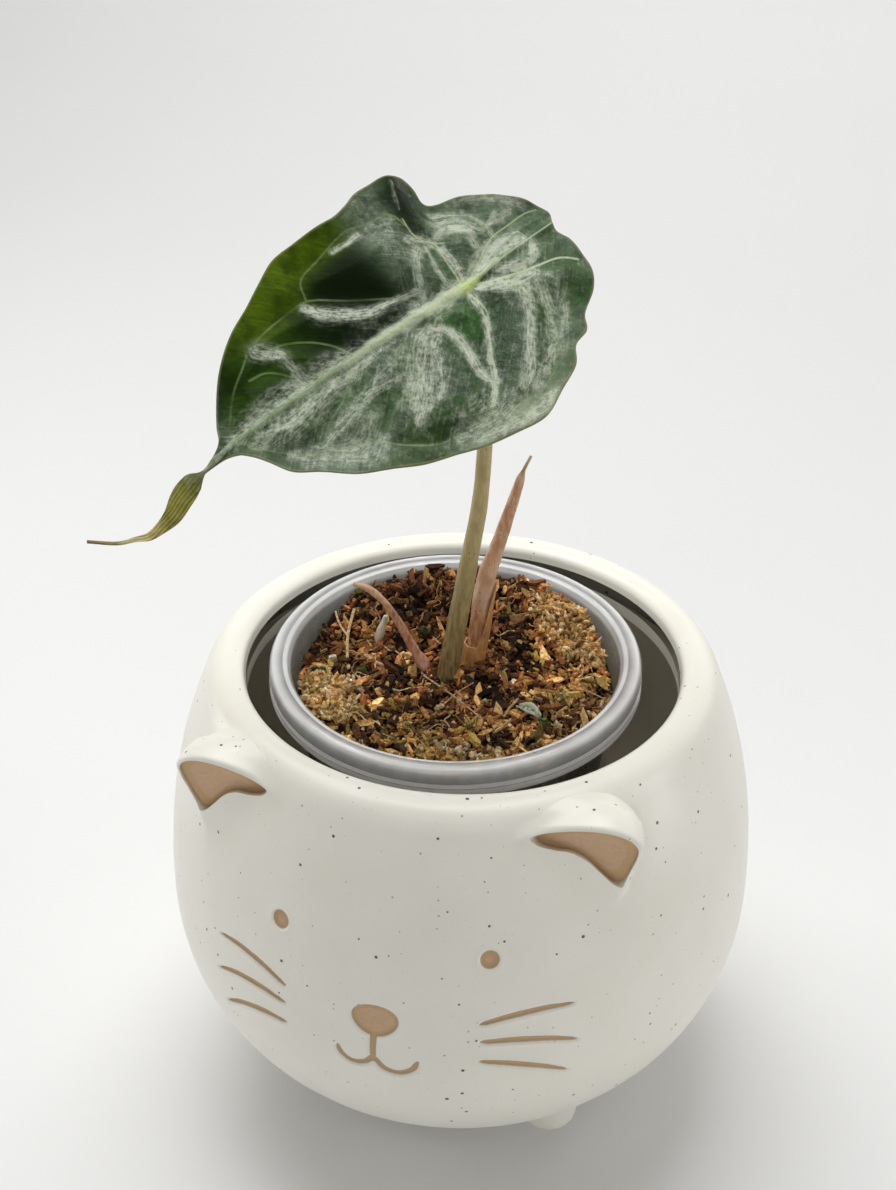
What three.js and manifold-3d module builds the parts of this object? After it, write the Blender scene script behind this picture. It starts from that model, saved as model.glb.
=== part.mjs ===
// A potted venom alocasia: one peltate leaf on its petiole, a rolled new leaf in its sheath
// and an old petiole, rooted in loose growing mix in a clear cup, which stands inside a
// round ceramic planter with four feet, two ears and a cat's face.
// Millimetres, +Z up. Everything is set out about the planter's axis with the face towards
// -Y. At the end the model is moved so that the origin is under the middle of its box.
import * as THREE from 'three';
import { mergeVertices } from 'three/addons/utils/BufferGeometryUtils.js';
import Module from 'manifold-3d';

const wasm = await Module();
wasm.setup();

// Planter
const POT_RADIUS = 76;
const BELLY_Z = 61;
const UPPER_BELLY = { reach: 104.5, power: 2.11 };
const LOWER_BELLY = { reach: 64, power: 2.17 };
const POT_WALL = 6.5;
const POT_SEGMENTS = 40;
const BASE_Z = 8.5;
const BASE_FLAT_RADIUS = 42;
const FLOOR_Z = 14.3;
const FLOOR_FLAT_RADIUS = 42;
const MOUTH_RADIUS = 55;
const MOUTH_Z = 122;
const NECK_RADIUS = 54.6;
const NECK_DEPTH = 8.5;
const FOOT_RADIUS = 7.6;
const FOOT_RING_RADIUS = 44.5;
const FOOT_AZIMUTH = 48;
const FOOT_SIDES = 12;
const FOOT_SECTIONS = [[0, 0.66], [1, 0.86], [3, 0.97], [12.6, 1]];

// Cup: it leans towards the face, turned in degrees about the middle of its rim
const CUP_X = -2;
const CUP_Y = 0;
const CUP_TOP_Z = 123.6;
const CUP_LEAN = 2;
const CUP_RIM_RADIUS = 47;
const CUP_INNER_TOP_RADIUS = 41.4;
const CUP_BASE_RADIUS = 31;
const CUP_WALL = 0.9;
const SEAT_GAP = 0.3;

// Growing mix
const MIX_Z = 114;
const MIX_CLIMB = 9;
const MIX_GAP = 0.3;

// Leaf: the frame's azimuth is taken from -Y towards +X, the dip is below level
const LEAF_JOINT = new THREE.Vector3(-1.2, 2.4, 222.4);
const LEAF_AZIMUTH = -36;
const LEAF_DIP = 18;
const LEAF_ROLL = 31;
const BLADE_THICKNESS = 0.7;

const degrees = THREE.MathUtils.degToRad;
const vec = (x, y, z) => new THREE.Vector3(x, y, z);
const bell = (distance, width) => Math.exp(-((distance / width) ** 2));

// Closed solids: edges shorter than this are closed up
const SHORTEST_EDGE = 0.02;

function signedVolume(vertices, faces) {
  let volume = 0;
  const cross = new THREE.Vector3();
  for (const [i, j, k] of faces) {
    volume += vertices[i].dot(cross.crossVectors(vertices[j], vertices[k])) / 6;
  }
  return volume;
}

function closedGeometry(vertices, faces) {
  const outward = signedVolume(vertices, faces) > 0;
  const geometry = new THREE.BufferGeometry();
  const positions = vertices.flatMap((point) => [point.x, point.y, point.z]);
  const index = faces.flatMap(([i, j, k]) => (outward ? [i, j, k] : [i, k, j]));
  geometry.setAttribute('position', new THREE.Float32BufferAttribute(positions, 3));
  geometry.setIndex(index);
  return geometry;
}

// Skins a row of rings, each with the same number of points, and closes both ends
function loft(rings) {
  const sides = rings[0].length;
  const vertices = rings.flat();
  const faces = [];
  for (let i = 0; i < rings.length - 1; i++) {
    for (let j = 0; j < sides; j++) {
      const a = i * sides + j;
      const b = i * sides + ((j + 1) % sides);
      faces.push([a, b, b + sides]);
      faces.push([a, b + sides, a + sides]);
    }
  }
  for (const [ring, first] of [[0, true], [rings.length - 1, false]]) {
    const centre = new THREE.Vector3();
    rings[ring].forEach((point) => centre.add(point));
    centre.divideScalar(sides);
    const middle = vertices.push(centre) - 1;
    for (let j = 0; j < sides; j++) {
      const a = ring * sides + j;
      const b = ring * sides + ((j + 1) % sides);
      faces.push(first ? [middle, b, a] : [middle, a, b]);
    }
  }
  return closedGeometry(vertices, faces);
}

function toSolid(geometry) {
  let plain = geometry.clone();
  plain.deleteAttribute('normal');
  plain.deleteAttribute('uv');
  plain = mergeVertices(plain, 1e-4);
  const mesh = new wasm.Mesh({
    numProp: 3,
    vertProperties: new Float32Array(plain.attributes.position.array),
    triVerts: new Uint32Array(plain.index.array),
  });
  return new wasm.Manifold(mesh);
}

function toGeometry(solid) {
  const mesh = solid.simplify(SHORTEST_EDGE).getMesh();
  const geometry = new THREE.BufferGeometry();
  geometry.setAttribute('position', new THREE.Float32BufferAttribute(mesh.vertProperties, 3));
  geometry.setIndex(Array.from(mesh.triVerts));
  return geometry;
}

const joined = (solids) => solids.reduce((whole, solid) => whole.add(solid));

function largestBody(solid) {
  const bodies = solid.decompose();
  return bodies.reduce((best, body) => (body.volume() > best.volume() ? body : best));
}

function lathe(profile, segments) {
  const points = profile.map(([radius, z]) => new THREE.Vector2(radius, z));
  return new THREE.LatheGeometry(points, segments).rotateX(Math.PI / 2);
}

// Reads a row of [position, value] stops at a position, with a straight line between stops
function along(stops, position) {
  const next = stops.findIndex(([stop]) => stop >= position);
  if (next <= 0) {
    return stops[next === 0 ? 0 : stops.length - 1][1];
  }
  const [start, from] = stops[next - 1];
  const [end, to] = stops[next];
  return from + ((to - from) * (position - start)) / (end - start);
}

// Round rings along a stem, whose radii are stops from its foot, 0, to its end, 1
function stemRings({ points, radii, steps, sides }, growth = 0, end = 1) {
  const curve = new THREE.CatmullRomCurve3(points);
  const frames = curve.computeFrenetFrames(steps, false);
  const rings = [];
  for (let i = 0; i <= Math.ceil(steps * end); i++) {
    const centre = curve.getPointAt(i / steps);
    const radius = along(radii, i / steps) + growth;
    const ring = [];
    for (let j = 0; j < sides; j++) {
      const angle = (2 * Math.PI * j) / sides;
      ring.push(centre.clone()
        .addScaledVector(frames.normals[i], radius * Math.cos(angle))
        .addScaledVector(frames.binormals[i], radius * Math.sin(angle)));
    }
    rings.push(ring);
  }
  return rings;
}

function seededRandom(seed) {
  let state = seed >>> 0;
  return () => {
    state = (Math.imul(state, 1664525) + 1013904223) >>> 0;
    return state / 4294967296;
  };
}

// Planter: heights where its wall is set out, and [radius, height] points where it rounds over

const OUTER_HEIGHTS = [12.4, 18, 26, 37, 49, 61, 74, 87, 99, 109, 115.5];
const INNER_HEIGHTS = [111.5, 88, 61, 36, 21];
const BASE_ROUND = [[BASE_FLAT_RADIUS, BASE_Z], [45.5, 9], [48.8, 10.2]];
const RIM_ROUND = [[64.9, 119.2], [63, 121.9], [60.4, 123.4], [57.4, 123.5]];
const FLOOR_ROUND = [[48.6, 15.6], [FLOOR_FLAT_RADIUS, FLOOR_Z]];

function potRadius(z) {
  const { reach, power } = z > BELLY_Z ? UPPER_BELLY : LOWER_BELLY;
  const share = Math.abs(z - BELLY_Z) / reach;
  return POT_RADIUS * (1 - share ** power) ** (1 / power);
}

// A point over the planter's outer wall: azimuth in degrees from -Y, height, and how far out
function potPoint(azimuth, z, out = 0) {
  const slope = (potRadius(z + 0.5) - potRadius(z - 0.5));
  const length = Math.hypot(1, slope);
  const radius = potRadius(z) + out / length;
  const turn = degrees(azimuth);
  return vec(radius * Math.sin(turn), -radius * Math.cos(turn), z - (out * slope) / length);
}

// The inner wall from the mouth down to the floor
function potInside() {
  const wall = INNER_HEIGHTS.map((z) => [potRadius(z) - POT_WALL, z]);
  return [[MOUTH_RADIUS, MOUTH_Z], [NECK_RADIUS, MOUTH_Z - 1.5],
    [NECK_RADIUS, MOUTH_Z - NECK_DEPTH], ...wall, ...FLOOR_ROUND, [0, FLOOR_Z]];
}

function potShell() {
  const outside = OUTER_HEIGHTS.map((z) => [potRadius(z), z]);
  const profile = [[0, BASE_Z], ...BASE_ROUND, ...outside, ...RIM_ROUND, ...potInside()];
  return toSolid(lathe(profile, POT_SEGMENTS));
}

function foot(azimuth) {
  const turn = degrees(azimuth);
  const x = FOOT_RING_RADIUS * Math.sin(turn);
  const y = -FOOT_RING_RADIUS * Math.cos(turn);
  const rings = [];
  for (const [z, share] of FOOT_SECTIONS) {
    const ring = [];
    for (let j = 0; j < FOOT_SIDES; j++) {
      const angle = (2 * Math.PI * j) / FOOT_SIDES;
      ring.push(vec(x + share * FOOT_RADIUS * Math.cos(angle),
        y + share * FOOT_RADIUS * Math.sin(angle), z));
    }
    rings.push(ring);
  }
  return toSolid(loft(rings));
}

// Ears: flaps that stand on the shoulder with a hollow front face, square to the cat's gaze.
// The outline runs from the inner root over the tip to the outer root, in the face's plane.
const EAR_ROOT = vec(32.4, -56.5, 116.6);
const EAR_ALONG = vec(0.77, 0.254, -0.583).normalize();
const EAR_FRONT = vec(0.125, -0.96, -0.253).normalize();
const EAR_RISE = vec(0.624, -0.122, 0.771).normalize();
const EAR_FACE = [[0.6, -0.6], [0.7, 1.8], [2.4, 5.2], [5.5, 8.9], [8.9, 11.8], [12.4, 13.7],
  [16, 14.4], [18.9, 13.4], [20.9, 10.8], [22.6, 7], [24.3, 2.4], [24.4, -0.3], [22.2, -0.9],
  [17.8, 0.2], [13, 1.6], [9, 1.4], [6.2, -0.2], [3, -1.3]];
const EAR_FLAP = [[-1.2, -3], [-0.5, 1.8], [1.6, 6], [4.8, 9.8], [8.4, 12.8], [12.2, 14.8],
  [16.3, 15.4], [19.7, 14.2], [21.9, 11.2], [23.5, 7.4], [25.1, 2.6], [25.2, -2.5], [12, -5]];
const EAR_MIDDLE = [13, 6.5];
// Sections from front to back: scale of the outline, slide down and setback
const FLAP_SECTIONS = [[0.95, 0, -0.5], [1, 0, 0.4], [1, 0.2, 4], [0.98, 0.9, 7.5],
  [0.93, 3.5, 11], [0.84, 8, 14]];
// How far the flaps stop short of the planter's hollow
const FLAP_STOP = 0.8;
const HOLLOW_SECTIONS = [[1.02, 0, -2.5], [1, 0, -0.3], [0.95, 0.1, 0.6], [0.8, 0.3, 1.2]];

function earPoint([reach, rise], back) {
  return EAR_ROOT.clone()
    .addScaledVector(EAR_ALONG, reach)
    .addScaledVector(EAR_RISE, rise)
    .addScaledVector(EAR_FRONT, -back);
}

// A section of the ear: an outline shrunk about the middle, slid down and set back
function earRing(outline, scale, slide, back) {
  return outline.map(([reach, rise]) => {
    const u = EAR_MIDDLE[0] + (reach - EAR_MIDDLE[0]) * scale;
    const v = EAR_MIDDLE[1] + (rise - EAR_MIDDLE[1]) * scale;
    return earPoint([u, v - slide], back);
  });
}

function mirrored(rings) {
  return rings.map((ring) => ring.map((point) => vec(-point.x, point.y, point.z)));
}

function ears() {
  const flap = FLAP_SECTIONS.map((section) => earRing(EAR_FLAP, ...section));
  const hollow = HOLLOW_SECTIONS.map((section) => earRing(EAR_FACE, ...section));
  const both = (rings) => [toSolid(loft(rings)), toSolid(loft(mirrored(rings)))];
  const room = [...potInside().reverse(), [MOUTH_RADIUS, MOUTH_Z + 1], [0, MOUTH_Z + 1]]
    .map(([radius, z]) => [radius > 0 ? radius + FLAP_STOP : 0, z]);
  const flaps = joined(both(flap)).subtract(toSolid(lathe(room, POT_SEGMENTS)));
  return { flaps, hollows: joined(both(hollow)) };
}

// Face: marks pressed into the clay
const MARK_DEPTH = 0.7;
const MARK_ABOVE = 1.2;
const EYE = { azimuth: 20.2, z: 88.6, width: 4.6, height: 4.9 };
const NOSE = { azimuth: -0.4, z: 68.6, width: 11.6, height: 9.6 };
const WHISKERS = [
  [[18.9, 70.4], [24, 72.2], [30, 73.2], [35.4, 72.9]],
  [[19, 64.8], [24.5, 64.8], [31, 63.6], [36.4, 61.3]],
  [[18.9, 58.4], [24, 57.2], [30, 54.6], [34.8, 51.4]],
];
const WHISKER_WIDTH = 1.5;
const MOUTH = [[-7.7, 57.9], [-7, 55.6], [-4.9, 53.9], [-2.4, 54.6], [-0.8, 56.6],
  [1.2, 53.8], [3.9, 52.9], [6.4, 54.6], [7.4, 57.2]];
const MOUTH_STEM = [[-0.6, 65], [-0.8, 60], [-0.8, 56]];
const MOUTH_WIDTH = 1.3;

function groove(path, width, tapered) {
  const curve = new THREE.CatmullRomCurve3(path.map(([azimuth, z]) => vec(azimuth, z, 0)));
  const steps = 2 * (path.length - 1);
  const rings = [];
  for (let i = 0; i <= steps; i++) {
    const s = i / steps;
    const here = curve.getPoint(s);
    const before = curve.getPoint(Math.max(0, s - 0.02));
    const after = curve.getPoint(Math.min(1, s + 0.02));
    const forward = potPoint(after.x, after.y).sub(potPoint(before.x, before.y)).normalize();
    const out = potPoint(here.x, here.y, 1).sub(potPoint(here.x, here.y));
    const side = out.clone().cross(forward).normalize();
    const half = (width / 2) * (tapered ? 0.45 + 0.55 * Math.sin(Math.PI * s) : 1);
    const point = potPoint(here.x, here.y);
    rings.push([[-half, MARK_ABOVE], [half, MARK_ABOVE], [0.7 * half, -MARK_DEPTH],
      [-0.7 * half, -MARK_DEPTH]].map(([across, up]) => point.clone()
      .addScaledVector(side, across)
      .addScaledVector(out, up)));
  }
  return toSolid(loft(rings));
}

// A round or egg-shaped mark, narrower below when pointed is set
function spot({ azimuth, z, width, height, pointed = 0 }, sides) {
  const rings = [MARK_ABOVE, -MARK_DEPTH].map((out) => {
    const ring = [];
    for (let j = 0; j < sides; j++) {
      const angle = (2 * Math.PI * j) / sides;
      const up = Math.sin(angle);
      const across = Math.cos(angle) * (1 + pointed * up);
      const turn = (across * width) / 2 / POT_RADIUS;
      ring.push(potPoint(azimuth + THREE.MathUtils.radToDeg(turn), z + (up * height) / 2, out));
    }
    return ring;
  });
  return toSolid(loft(rings));
}

function faceMarks() {
  const marks = [spot({ ...NOSE, pointed: 0.16 }, 14), groove(MOUTH, MOUTH_WIDTH, false),
    groove(MOUTH_STEM, MOUTH_WIDTH, false)];
  for (const side of [-1, 1]) {
    marks.push(spot({ ...EYE, azimuth: side * EYE.azimuth }, 10));
    for (const whisker of WHISKERS) {
      marks.push(groove(whisker.map(([azimuth, z]) => [side * azimuth, z]), WHISKER_WIDTH, true));
    }
  }
  return joined(marks);
}

function planter() {
  const { flaps, hollows } = ears();
  const feet = [FOOT_AZIMUTH, 180 - FOOT_AZIMUTH, 180 + FOOT_AZIMUTH, -FOOT_AZIMUTH].map(foot);
  return joined([potShell(), flaps, ...feet]).subtract(hollows).subtract(faceMarks());
}

// Cup: a thin tapered cup with a wide rolled rim and two beads round its skirt

const LEAN_SIN = Math.sin(degrees(CUP_LEAN));
const LEAN_COS = Math.cos(degrees(CUP_LEAN));
// Before the lean, low enough for the leaning cup to stand on its front edge
const CUP_FLOOR_Z = CUP_TOP_Z
  - (CUP_TOP_Z - FLOOR_Z - SEAT_GAP - CUP_BASE_RADIUS * LEAN_SIN) / LEAN_COS;
const CUP_SEGMENTS = 34;
const DRAIN_COUNT = 5;
const DRAIN_RADIUS = 2.5;
const DRAIN_RING_RADIUS = 18;
// The skirt's section under the rim, as [inward from the rim's radius, below its top]
const CUP_SKIRT = [[2, 2.2], [1, 3.2], [1.1, 7.4], [0.2, 7.4], [0, 6.6], [0.5, 5.9], [0, 5.2],
  [0.5, 4.4], [0.1, 2.4], [0.4, 0.9], [1.3, 0.1], [3, 0]];

// The radius of the cup's inner wall at a height
function cupInnerRadius(z) {
  const share = (z - CUP_FLOOR_Z) / (CUP_TOP_Z - CUP_FLOOR_Z);
  return CUP_BASE_RADIUS - CUP_WALL + share * (CUP_INNER_TOP_RADIUS - CUP_BASE_RADIUS + CUP_WALL);
}

function cup() {
  const top = CUP_TOP_Z;
  const skirt = CUP_SKIRT.map(([inward, below]) => [CUP_RIM_RADIUS - inward, top - below]);
  const outerWall = [top - 9, top - 3].map((z) => [cupInnerRadius(z) + CUP_WALL, z]);
  const profile = [[0, CUP_FLOOR_Z], [CUP_BASE_RADIUS - 1.2, CUP_FLOOR_Z],
    [CUP_BASE_RADIUS, CUP_FLOOR_Z + 1.5], ...outerWall, ...skirt,
    [CUP_INNER_TOP_RADIUS + 0.7, top - 0.7], [CUP_INNER_TOP_RADIUS, top - 2],
    [cupInnerRadius(top - 20), top - 20], [CUP_BASE_RADIUS - CUP_WALL, CUP_FLOOR_Z + 2.4],
    [CUP_BASE_RADIUS - 2.2, CUP_FLOOR_Z + CUP_WALL], [0, CUP_FLOOR_Z + CUP_WALL]];
  const shell = toSolid(lathe(profile, CUP_SEGMENTS));
  const drains = [];
  for (let k = 0; k < DRAIN_COUNT; k++) {
    const angle = (2 * Math.PI * k) / DRAIN_COUNT;
    const drain = new THREE.CylinderGeometry(DRAIN_RADIUS, DRAIN_RADIUS, 6, 10);
    drain.rotateX(Math.PI / 2);
    drain.translate(DRAIN_RING_RADIUS * Math.cos(angle), DRAIN_RING_RADIUS * Math.sin(angle),
      CUP_FLOOR_Z);
    drains.push(toSolid(drain));
  }
  return shell.subtract(joined(drains))
    .translate([CUP_X, 0, -CUP_TOP_Z])
    .rotate([CUP_LEAN, 0, 0])
    .translate([0, CUP_Y, CUP_TOP_Z]);
}

// Where a point of the upright cup comes to lie in the leaning one
function leanPoint(x, y, z) {
  const [v, w] = [y - CUP_Y, z - CUP_TOP_Z];
  return vec(x, CUP_Y + v * LEAN_COS - w * LEAN_SIN, CUP_TOP_Z + v * LEAN_SIN + w * LEAN_COS);
}

// Leaf blade, in its own frame: a runs from the stalk's joint to the tip, b to the lower side,
// and h stands out of the upper face. Outlines and veins are [a, b] points.
const BLADE_ROWS = 38;
const BLADE_COLUMNS = 10;
const MIDRIB = [[-30, -2.3], [-15, -1], [0, 0], [12, -0.9], [24, -1.6], [40, -2.3], [54, -2.8],
  [64, -3.2], [71, -3.2]];
const LOWER_EDGE = [[-30, -2.3], [-29, 1], [-28.5, 6], [-26.5, 14], [-23.5, 18], [-17, 22],
  [-14, 25.5], [-9, 27], [-5, 31], [2, 34], [11, 37.5], [18, 36], [23.5, 34], [30, 31],
  [38.5, 28.5], [44, 24.5], [49, 20.5], [54.5, 14.5], [59, 10.5], [61.5, 5], [64, 1],
  [67.5, -1.4], [71, -2.3]];
const UPPER_EDGE = [[-30, -2.3], [-31.2, -4.5], [-28.5, -9.5], [-23.5, -13], [-18.5, -16],
  [-14, -18.5], [-9, -20.5], [-6.5, -22.5], [-6.3, -26], [-5, -28.5], [-1.5, -29.3],
  [2.5, -30.5], [6.5, -31.5], [10.5, -30.5], [14, -30], [19.5, -30.5], [25.5, -30.7],
  [31.5, -30.5], [37.5, -28], [43, -25.5], [49, -23], [55, -19], [59, -15.5], [64, -9.5],
  [66.5, -5.8], [68.5, -4.6], [71, -4.1]];
const VEINS = [
  [[0, 0], [-6.5, -3], [-14, -6.5], [-19.5, -7], [-25.5, -7.5], [-29, -7]],
  [[-14, -6.5], [-14.7, -9.5], [-14, -12.5], [-11.5, -15.5], [-7, -18.5]],
  [[0, 0], [-4.5, 1.5], [-11.5, 4], [-17.5, 5.5], [-23, 7], [-26, 10]],
  [[-9.5, 3.5], [-11.5, 7], [-12.5, 11], [-11.5, 16.5], [-6.5, 24], [-1, 28.5]],
  [[0.5, 0.5], [0, 4.5], [0.7, 8.5], [4, 12.5], [7.5, 17.5], [11, 23], [15.5, 26.5], [18, 29]],
  [[17.5, -1], [14, 3], [11, 5.5], [10.3, 10.5], [11, 16], [11.5, 22.5]],
  [[18, -1], [21.5, 5], [25.5, 10.5], [32.5, 13.5], [38, 17], [40.5, 17]],
  [[31.5, -2], [39, 4], [45, 6.5], [50, 9.5]],
  [[62, 0.5], [57, 6], [52, 10.5], [46, 14], [40.5, 17], [37, 21.5], [32, 26], [26.5, 27.5],
    [18, 29], [12.5, 31], [4.5, 31], [-3, 28]],
  [[0, -1], [-0.5, -5], [-1, -8.5], [-1.5, -12.5], [0.5, -14.5], [2, -17], [2, -20.5]],
  [[8, -1], [10, -3], [15.5, -8], [23.5, -13.5], [31, -19], [36.5, -19.3], [43.5, -19],
    [48, -18], [52, -15.5], [57, -12.5], [62, -7.5]],
  [[31, -19], [29, -23.5], [23, -25], [13, -26.5], [8.5, -25], [4.5, -23.5], [2, -18]],
  [[30.5, -2.5], [33, -7], [36.5, -11], [42, -14.5], [46.5, -15.5]],
  [[43, -3], [45, -7.5], [48.5, -11.5], [52.5, -12.5]],
];
const VEIN_WIDTH = 2.8;
const VEIN_DEPTH = 0.7;
const QUILT_WIDTH = 5.5;
const QUILT_HEIGHT = 1.7;
const MIDRIB_DEPTH = 1.3;
const HOOD_RIDGE = [[-1, -31], [3, -20], [7, -9], [9.5, -3]];

function leafFrame() {
  const azimuth = degrees(LEAF_AZIMUTH);
  const dip = degrees(LEAF_DIP);
  const roll = degrees(LEAF_ROLL);
  const tip = vec(Math.sin(azimuth) * Math.cos(dip), -Math.cos(azimuth) * Math.cos(dip),
    -Math.sin(dip));
  const level = vec(Math.cos(azimuth), Math.sin(azimuth), 0);
  const up = level.clone().cross(tip).multiplyScalar(-1);
  const side = level.clone().multiplyScalar(Math.cos(roll)).addScaledVector(up, -Math.sin(roll));
  const face = up.clone().multiplyScalar(Math.cos(roll)).addScaledVector(level, Math.sin(roll));
  return { tip, side, face };
}

const LEAF = leafFrame();

const leafPoint = (a, b, h) => LEAF_JOINT.clone()
  .addScaledVector(LEAF.tip, a)
  .addScaledVector(LEAF.side, b)
  .addScaledVector(LEAF.face, h);

function distanceToLine([x, y], line) {
  let nearest = Infinity;
  for (let i = 0; i < line.length - 1; i++) {
    const [x0, y0] = line[i];
    const dx = line[i + 1][0] - x0;
    const dy = line[i + 1][1] - y0;
    const share = THREE.MathUtils.clamp(((x - x0) * dx + (y - y0) * dy) / (dx * dx + dy * dy), 0, 1);
    nearest = Math.min(nearest, Math.hypot(x - x0 - share * dx, y - y0 - share * dy));
  }
  return nearest;
}

// Droop from the joint, a shallow trough along the midrib, and waves towards the margin
function bladeSweep(a, b) {
  const droop = a > 0 ? -0.00145 * a * a : -0.0035 * a * a;
  const trough = 0.0032 * b * b * bell(a - 20, 45);
  const [x, y] = [(a - 20) / 50, b / 35];
  const angle = Math.atan2(y, x);
  const margin = THREE.MathUtils.smoothstep(Math.hypot(x, y), 0.62, 1);
  return droop + trough + margin * (1.3 * Math.sin(7 * angle + 0.6) + 0.7 * Math.sin(11 * angle + 2));
}

// The upper margin is thrown up in a hood near the joint, with a pocket behind it
function bladeHood(a, b) {
  const towardsMargin = THREE.MathUtils.smoothstep(-b, 4, 30);
  const ridge = 6 * towardsMargin * bell(distanceToLine([a, b], HOOD_RIDGE), 5);
  return ridge - 3 * towardsMargin * bell(Math.hypot(a + 6, b + 20), 6);
}

// Puckers: the blade swells between its veins, which lie in furrows, and the midrib is raised
function bladeQuilt(a, b) {
  const vein = Math.min(...VEINS.map((line) => distanceToLine([a, b], line)));
  const rib = distanceToLine([a, b], MIDRIB);
  const swell = QUILT_HEIGHT * (1 - bell(Math.min(vein, rib), QUILT_WIDTH));
  return swell - VEIN_DEPTH * bell(vein, VEIN_WIDTH) - 0.8 * bell(rib, 3) + 0.9 * bell(rib, 1.3);
}

const bladeHeight = (a, b) => bladeSweep(a, b) + bladeHood(a, b) + bladeQuilt(a, b);

// Veins and midrib stand out underneath
function bladeDepth(a, b) {
  const vein = Math.min(...VEINS.map((line) => distanceToLine([a, b], line)));
  const rib = distanceToLine([a, b], MIDRIB);
  const taper = THREE.MathUtils.clamp((76 - a) / 60, 0.2, 1);
  return BLADE_THICKNESS + MIDRIB_DEPTH * taper * bell(rib, 1.9) + 0.3 * bell(vein, 1.5);
}

const evenPoints = (line, count) => new THREE.CatmullRomCurve3(line.map(([a, b]) => vec(a, b, 0)))
  .getSpacedPoints(count);

// The blade's rows fan out from the notch between its back lobes and run to the neck of its tip
function bladeGrid() {
  const rows = [];
  const middle = evenPoints(MIDRIB, BLADE_ROWS);
  const edges = [evenPoints(UPPER_EDGE, BLADE_ROWS), evenPoints(LOWER_EDGE, BLADE_ROWS)];
  for (let i = 1; i <= BLADE_ROWS; i++) {
    const row = [];
    for (let j = -BLADE_COLUMNS; j <= BLADE_COLUMNS; j++) {
      const share = Math.abs(j) / BLADE_COLUMNS;
      row.push(middle[i].clone().lerp(edges[j < 0 ? 0 : 1][i], share));
    }
    rows.push(row);
  }
  return { notch: middle[0], rows };
}

function bladeNormal(a, b) {
  const step = 0.4;
  const point = (da, db) => leafPoint(a + da, b + db, bladeHeight(a + da, b + db));
  const alongTip = point(step, 0).sub(point(-step, 0));
  const acrossTip = point(0, step).sub(point(0, -step));
  const normal = alongTip.cross(acrossTip).normalize();
  return normal.dot(LEAF.face) > 0 ? normal : normal.negate();
}

// The two triangles of a cell of four corners, split where the fold between them is flatter
function flatterSplit(points, [a, b, c, d]) {
  const facing = (i, j, k) => points[j].clone().sub(points[i])
    .cross(points[k].clone().sub(points[i])).normalize();
  const first = facing(a, b, c).dot(facing(a, c, d));
  const second = facing(a, b, d).dot(facing(b, c, d));
  return first > second ? [[a, b, c], [a, c, d]] : [[a, b, d], [b, c, d]];
}

// Both faces are split into triangles alike and joined round the edge
function bladeSolid() {
  const { notch, rows } = bladeGrid();
  const flat = [notch, ...rows.flat()];
  const upper = flat.map(({ x, y }) => leafPoint(x, y, bladeHeight(x, y)));
  const lower = flat.map(({ x, y }, k) => upper[k].clone()
    .addScaledVector(bladeNormal(x, y), -bladeDepth(x, y)));
  const width = 2 * BLADE_COLUMNS + 1;
  const count = flat.length;
  const at = (i, j) => 1 + i * width + j;
  const skin = [];
  const rim = [0];
  for (let j = 0; j < width - 1; j++) {
    skin.push([0, at(0, j), at(0, j + 1)]);
  }
  for (let i = 0; i < BLADE_ROWS - 1; i++) {
    for (let j = 0; j < width - 1; j++) {
      skin.push(...flatterSplit(upper, [at(i, j), at(i + 1, j), at(i + 1, j + 1), at(i, j + 1)]));
    }
  }
  for (let i = 0; i < BLADE_ROWS; i++) {
    rim.push(at(i, 0));
  }
  for (let j = 1; j < width; j++) {
    rim.push(at(BLADE_ROWS - 1, j));
  }
  for (let i = BLADE_ROWS - 2; i >= 0; i--) {
    rim.push(at(i, width - 1));
  }
  const faces = skin.flatMap(([i, j, k]) => [[i, j, k], [i + count, k + count, j + count]]);
  rim.forEach((a, k) => {
    const b = rim[(k + 1) % rim.length];
    faces.push([b, a, a + count], [b, a + count, b + count]);
  });
  return toSolid(closedGeometry([...upper, ...lower], faces));
}

// The long drip tip: a ribbon that widens, twists once and runs out in a dry thread.
// Each stop has its centre in the leaf's frame, half width and turn in degrees.
const DRIP_TIP = [
  { centre: [65.5, -3, -6.1], width: 0.6, turn: 0 },
  { centre: [68.2, -3, -6.7], width: 0.8, turn: 0 },
  { centre: [70.6, -3.1, -8], width: 0.9, turn: 30 },
  { centre: [72.8, -3.3, -10.1], width: 1, turn: 100 },
  { centre: [75.6, -3.3, -11.6], width: 2.3, turn: 160 },
  { centre: [79.1, -2.6, -13.2], width: 2.9, turn: 185 },
  { centre: [83, -1.1, -15], width: 2.4, turn: 190 },
  { centre: [86.6, -0.8, -16.4], width: 1.7, turn: 200 },
  { centre: [89.3, -1, -17.2], width: 1.3, turn: 205 },
  { centre: [92.2, -2.5, -17.6], width: 0.8, turn: 210 },
  { centre: [95.4, -4, -17.8], width: 0.6, turn: 210 },
  { centre: [100.7, -8.4, -17.4], width: 0.45, turn: 210 },
];
const DRIP_TIP_STEPS = 20;
const DRIP_TIP_SECTION = [[1, 0], [0.5, 0.42], [-0.5, 0.42], [-1, 0], [-0.5, -0.42], [0.5, -0.42]];

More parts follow.
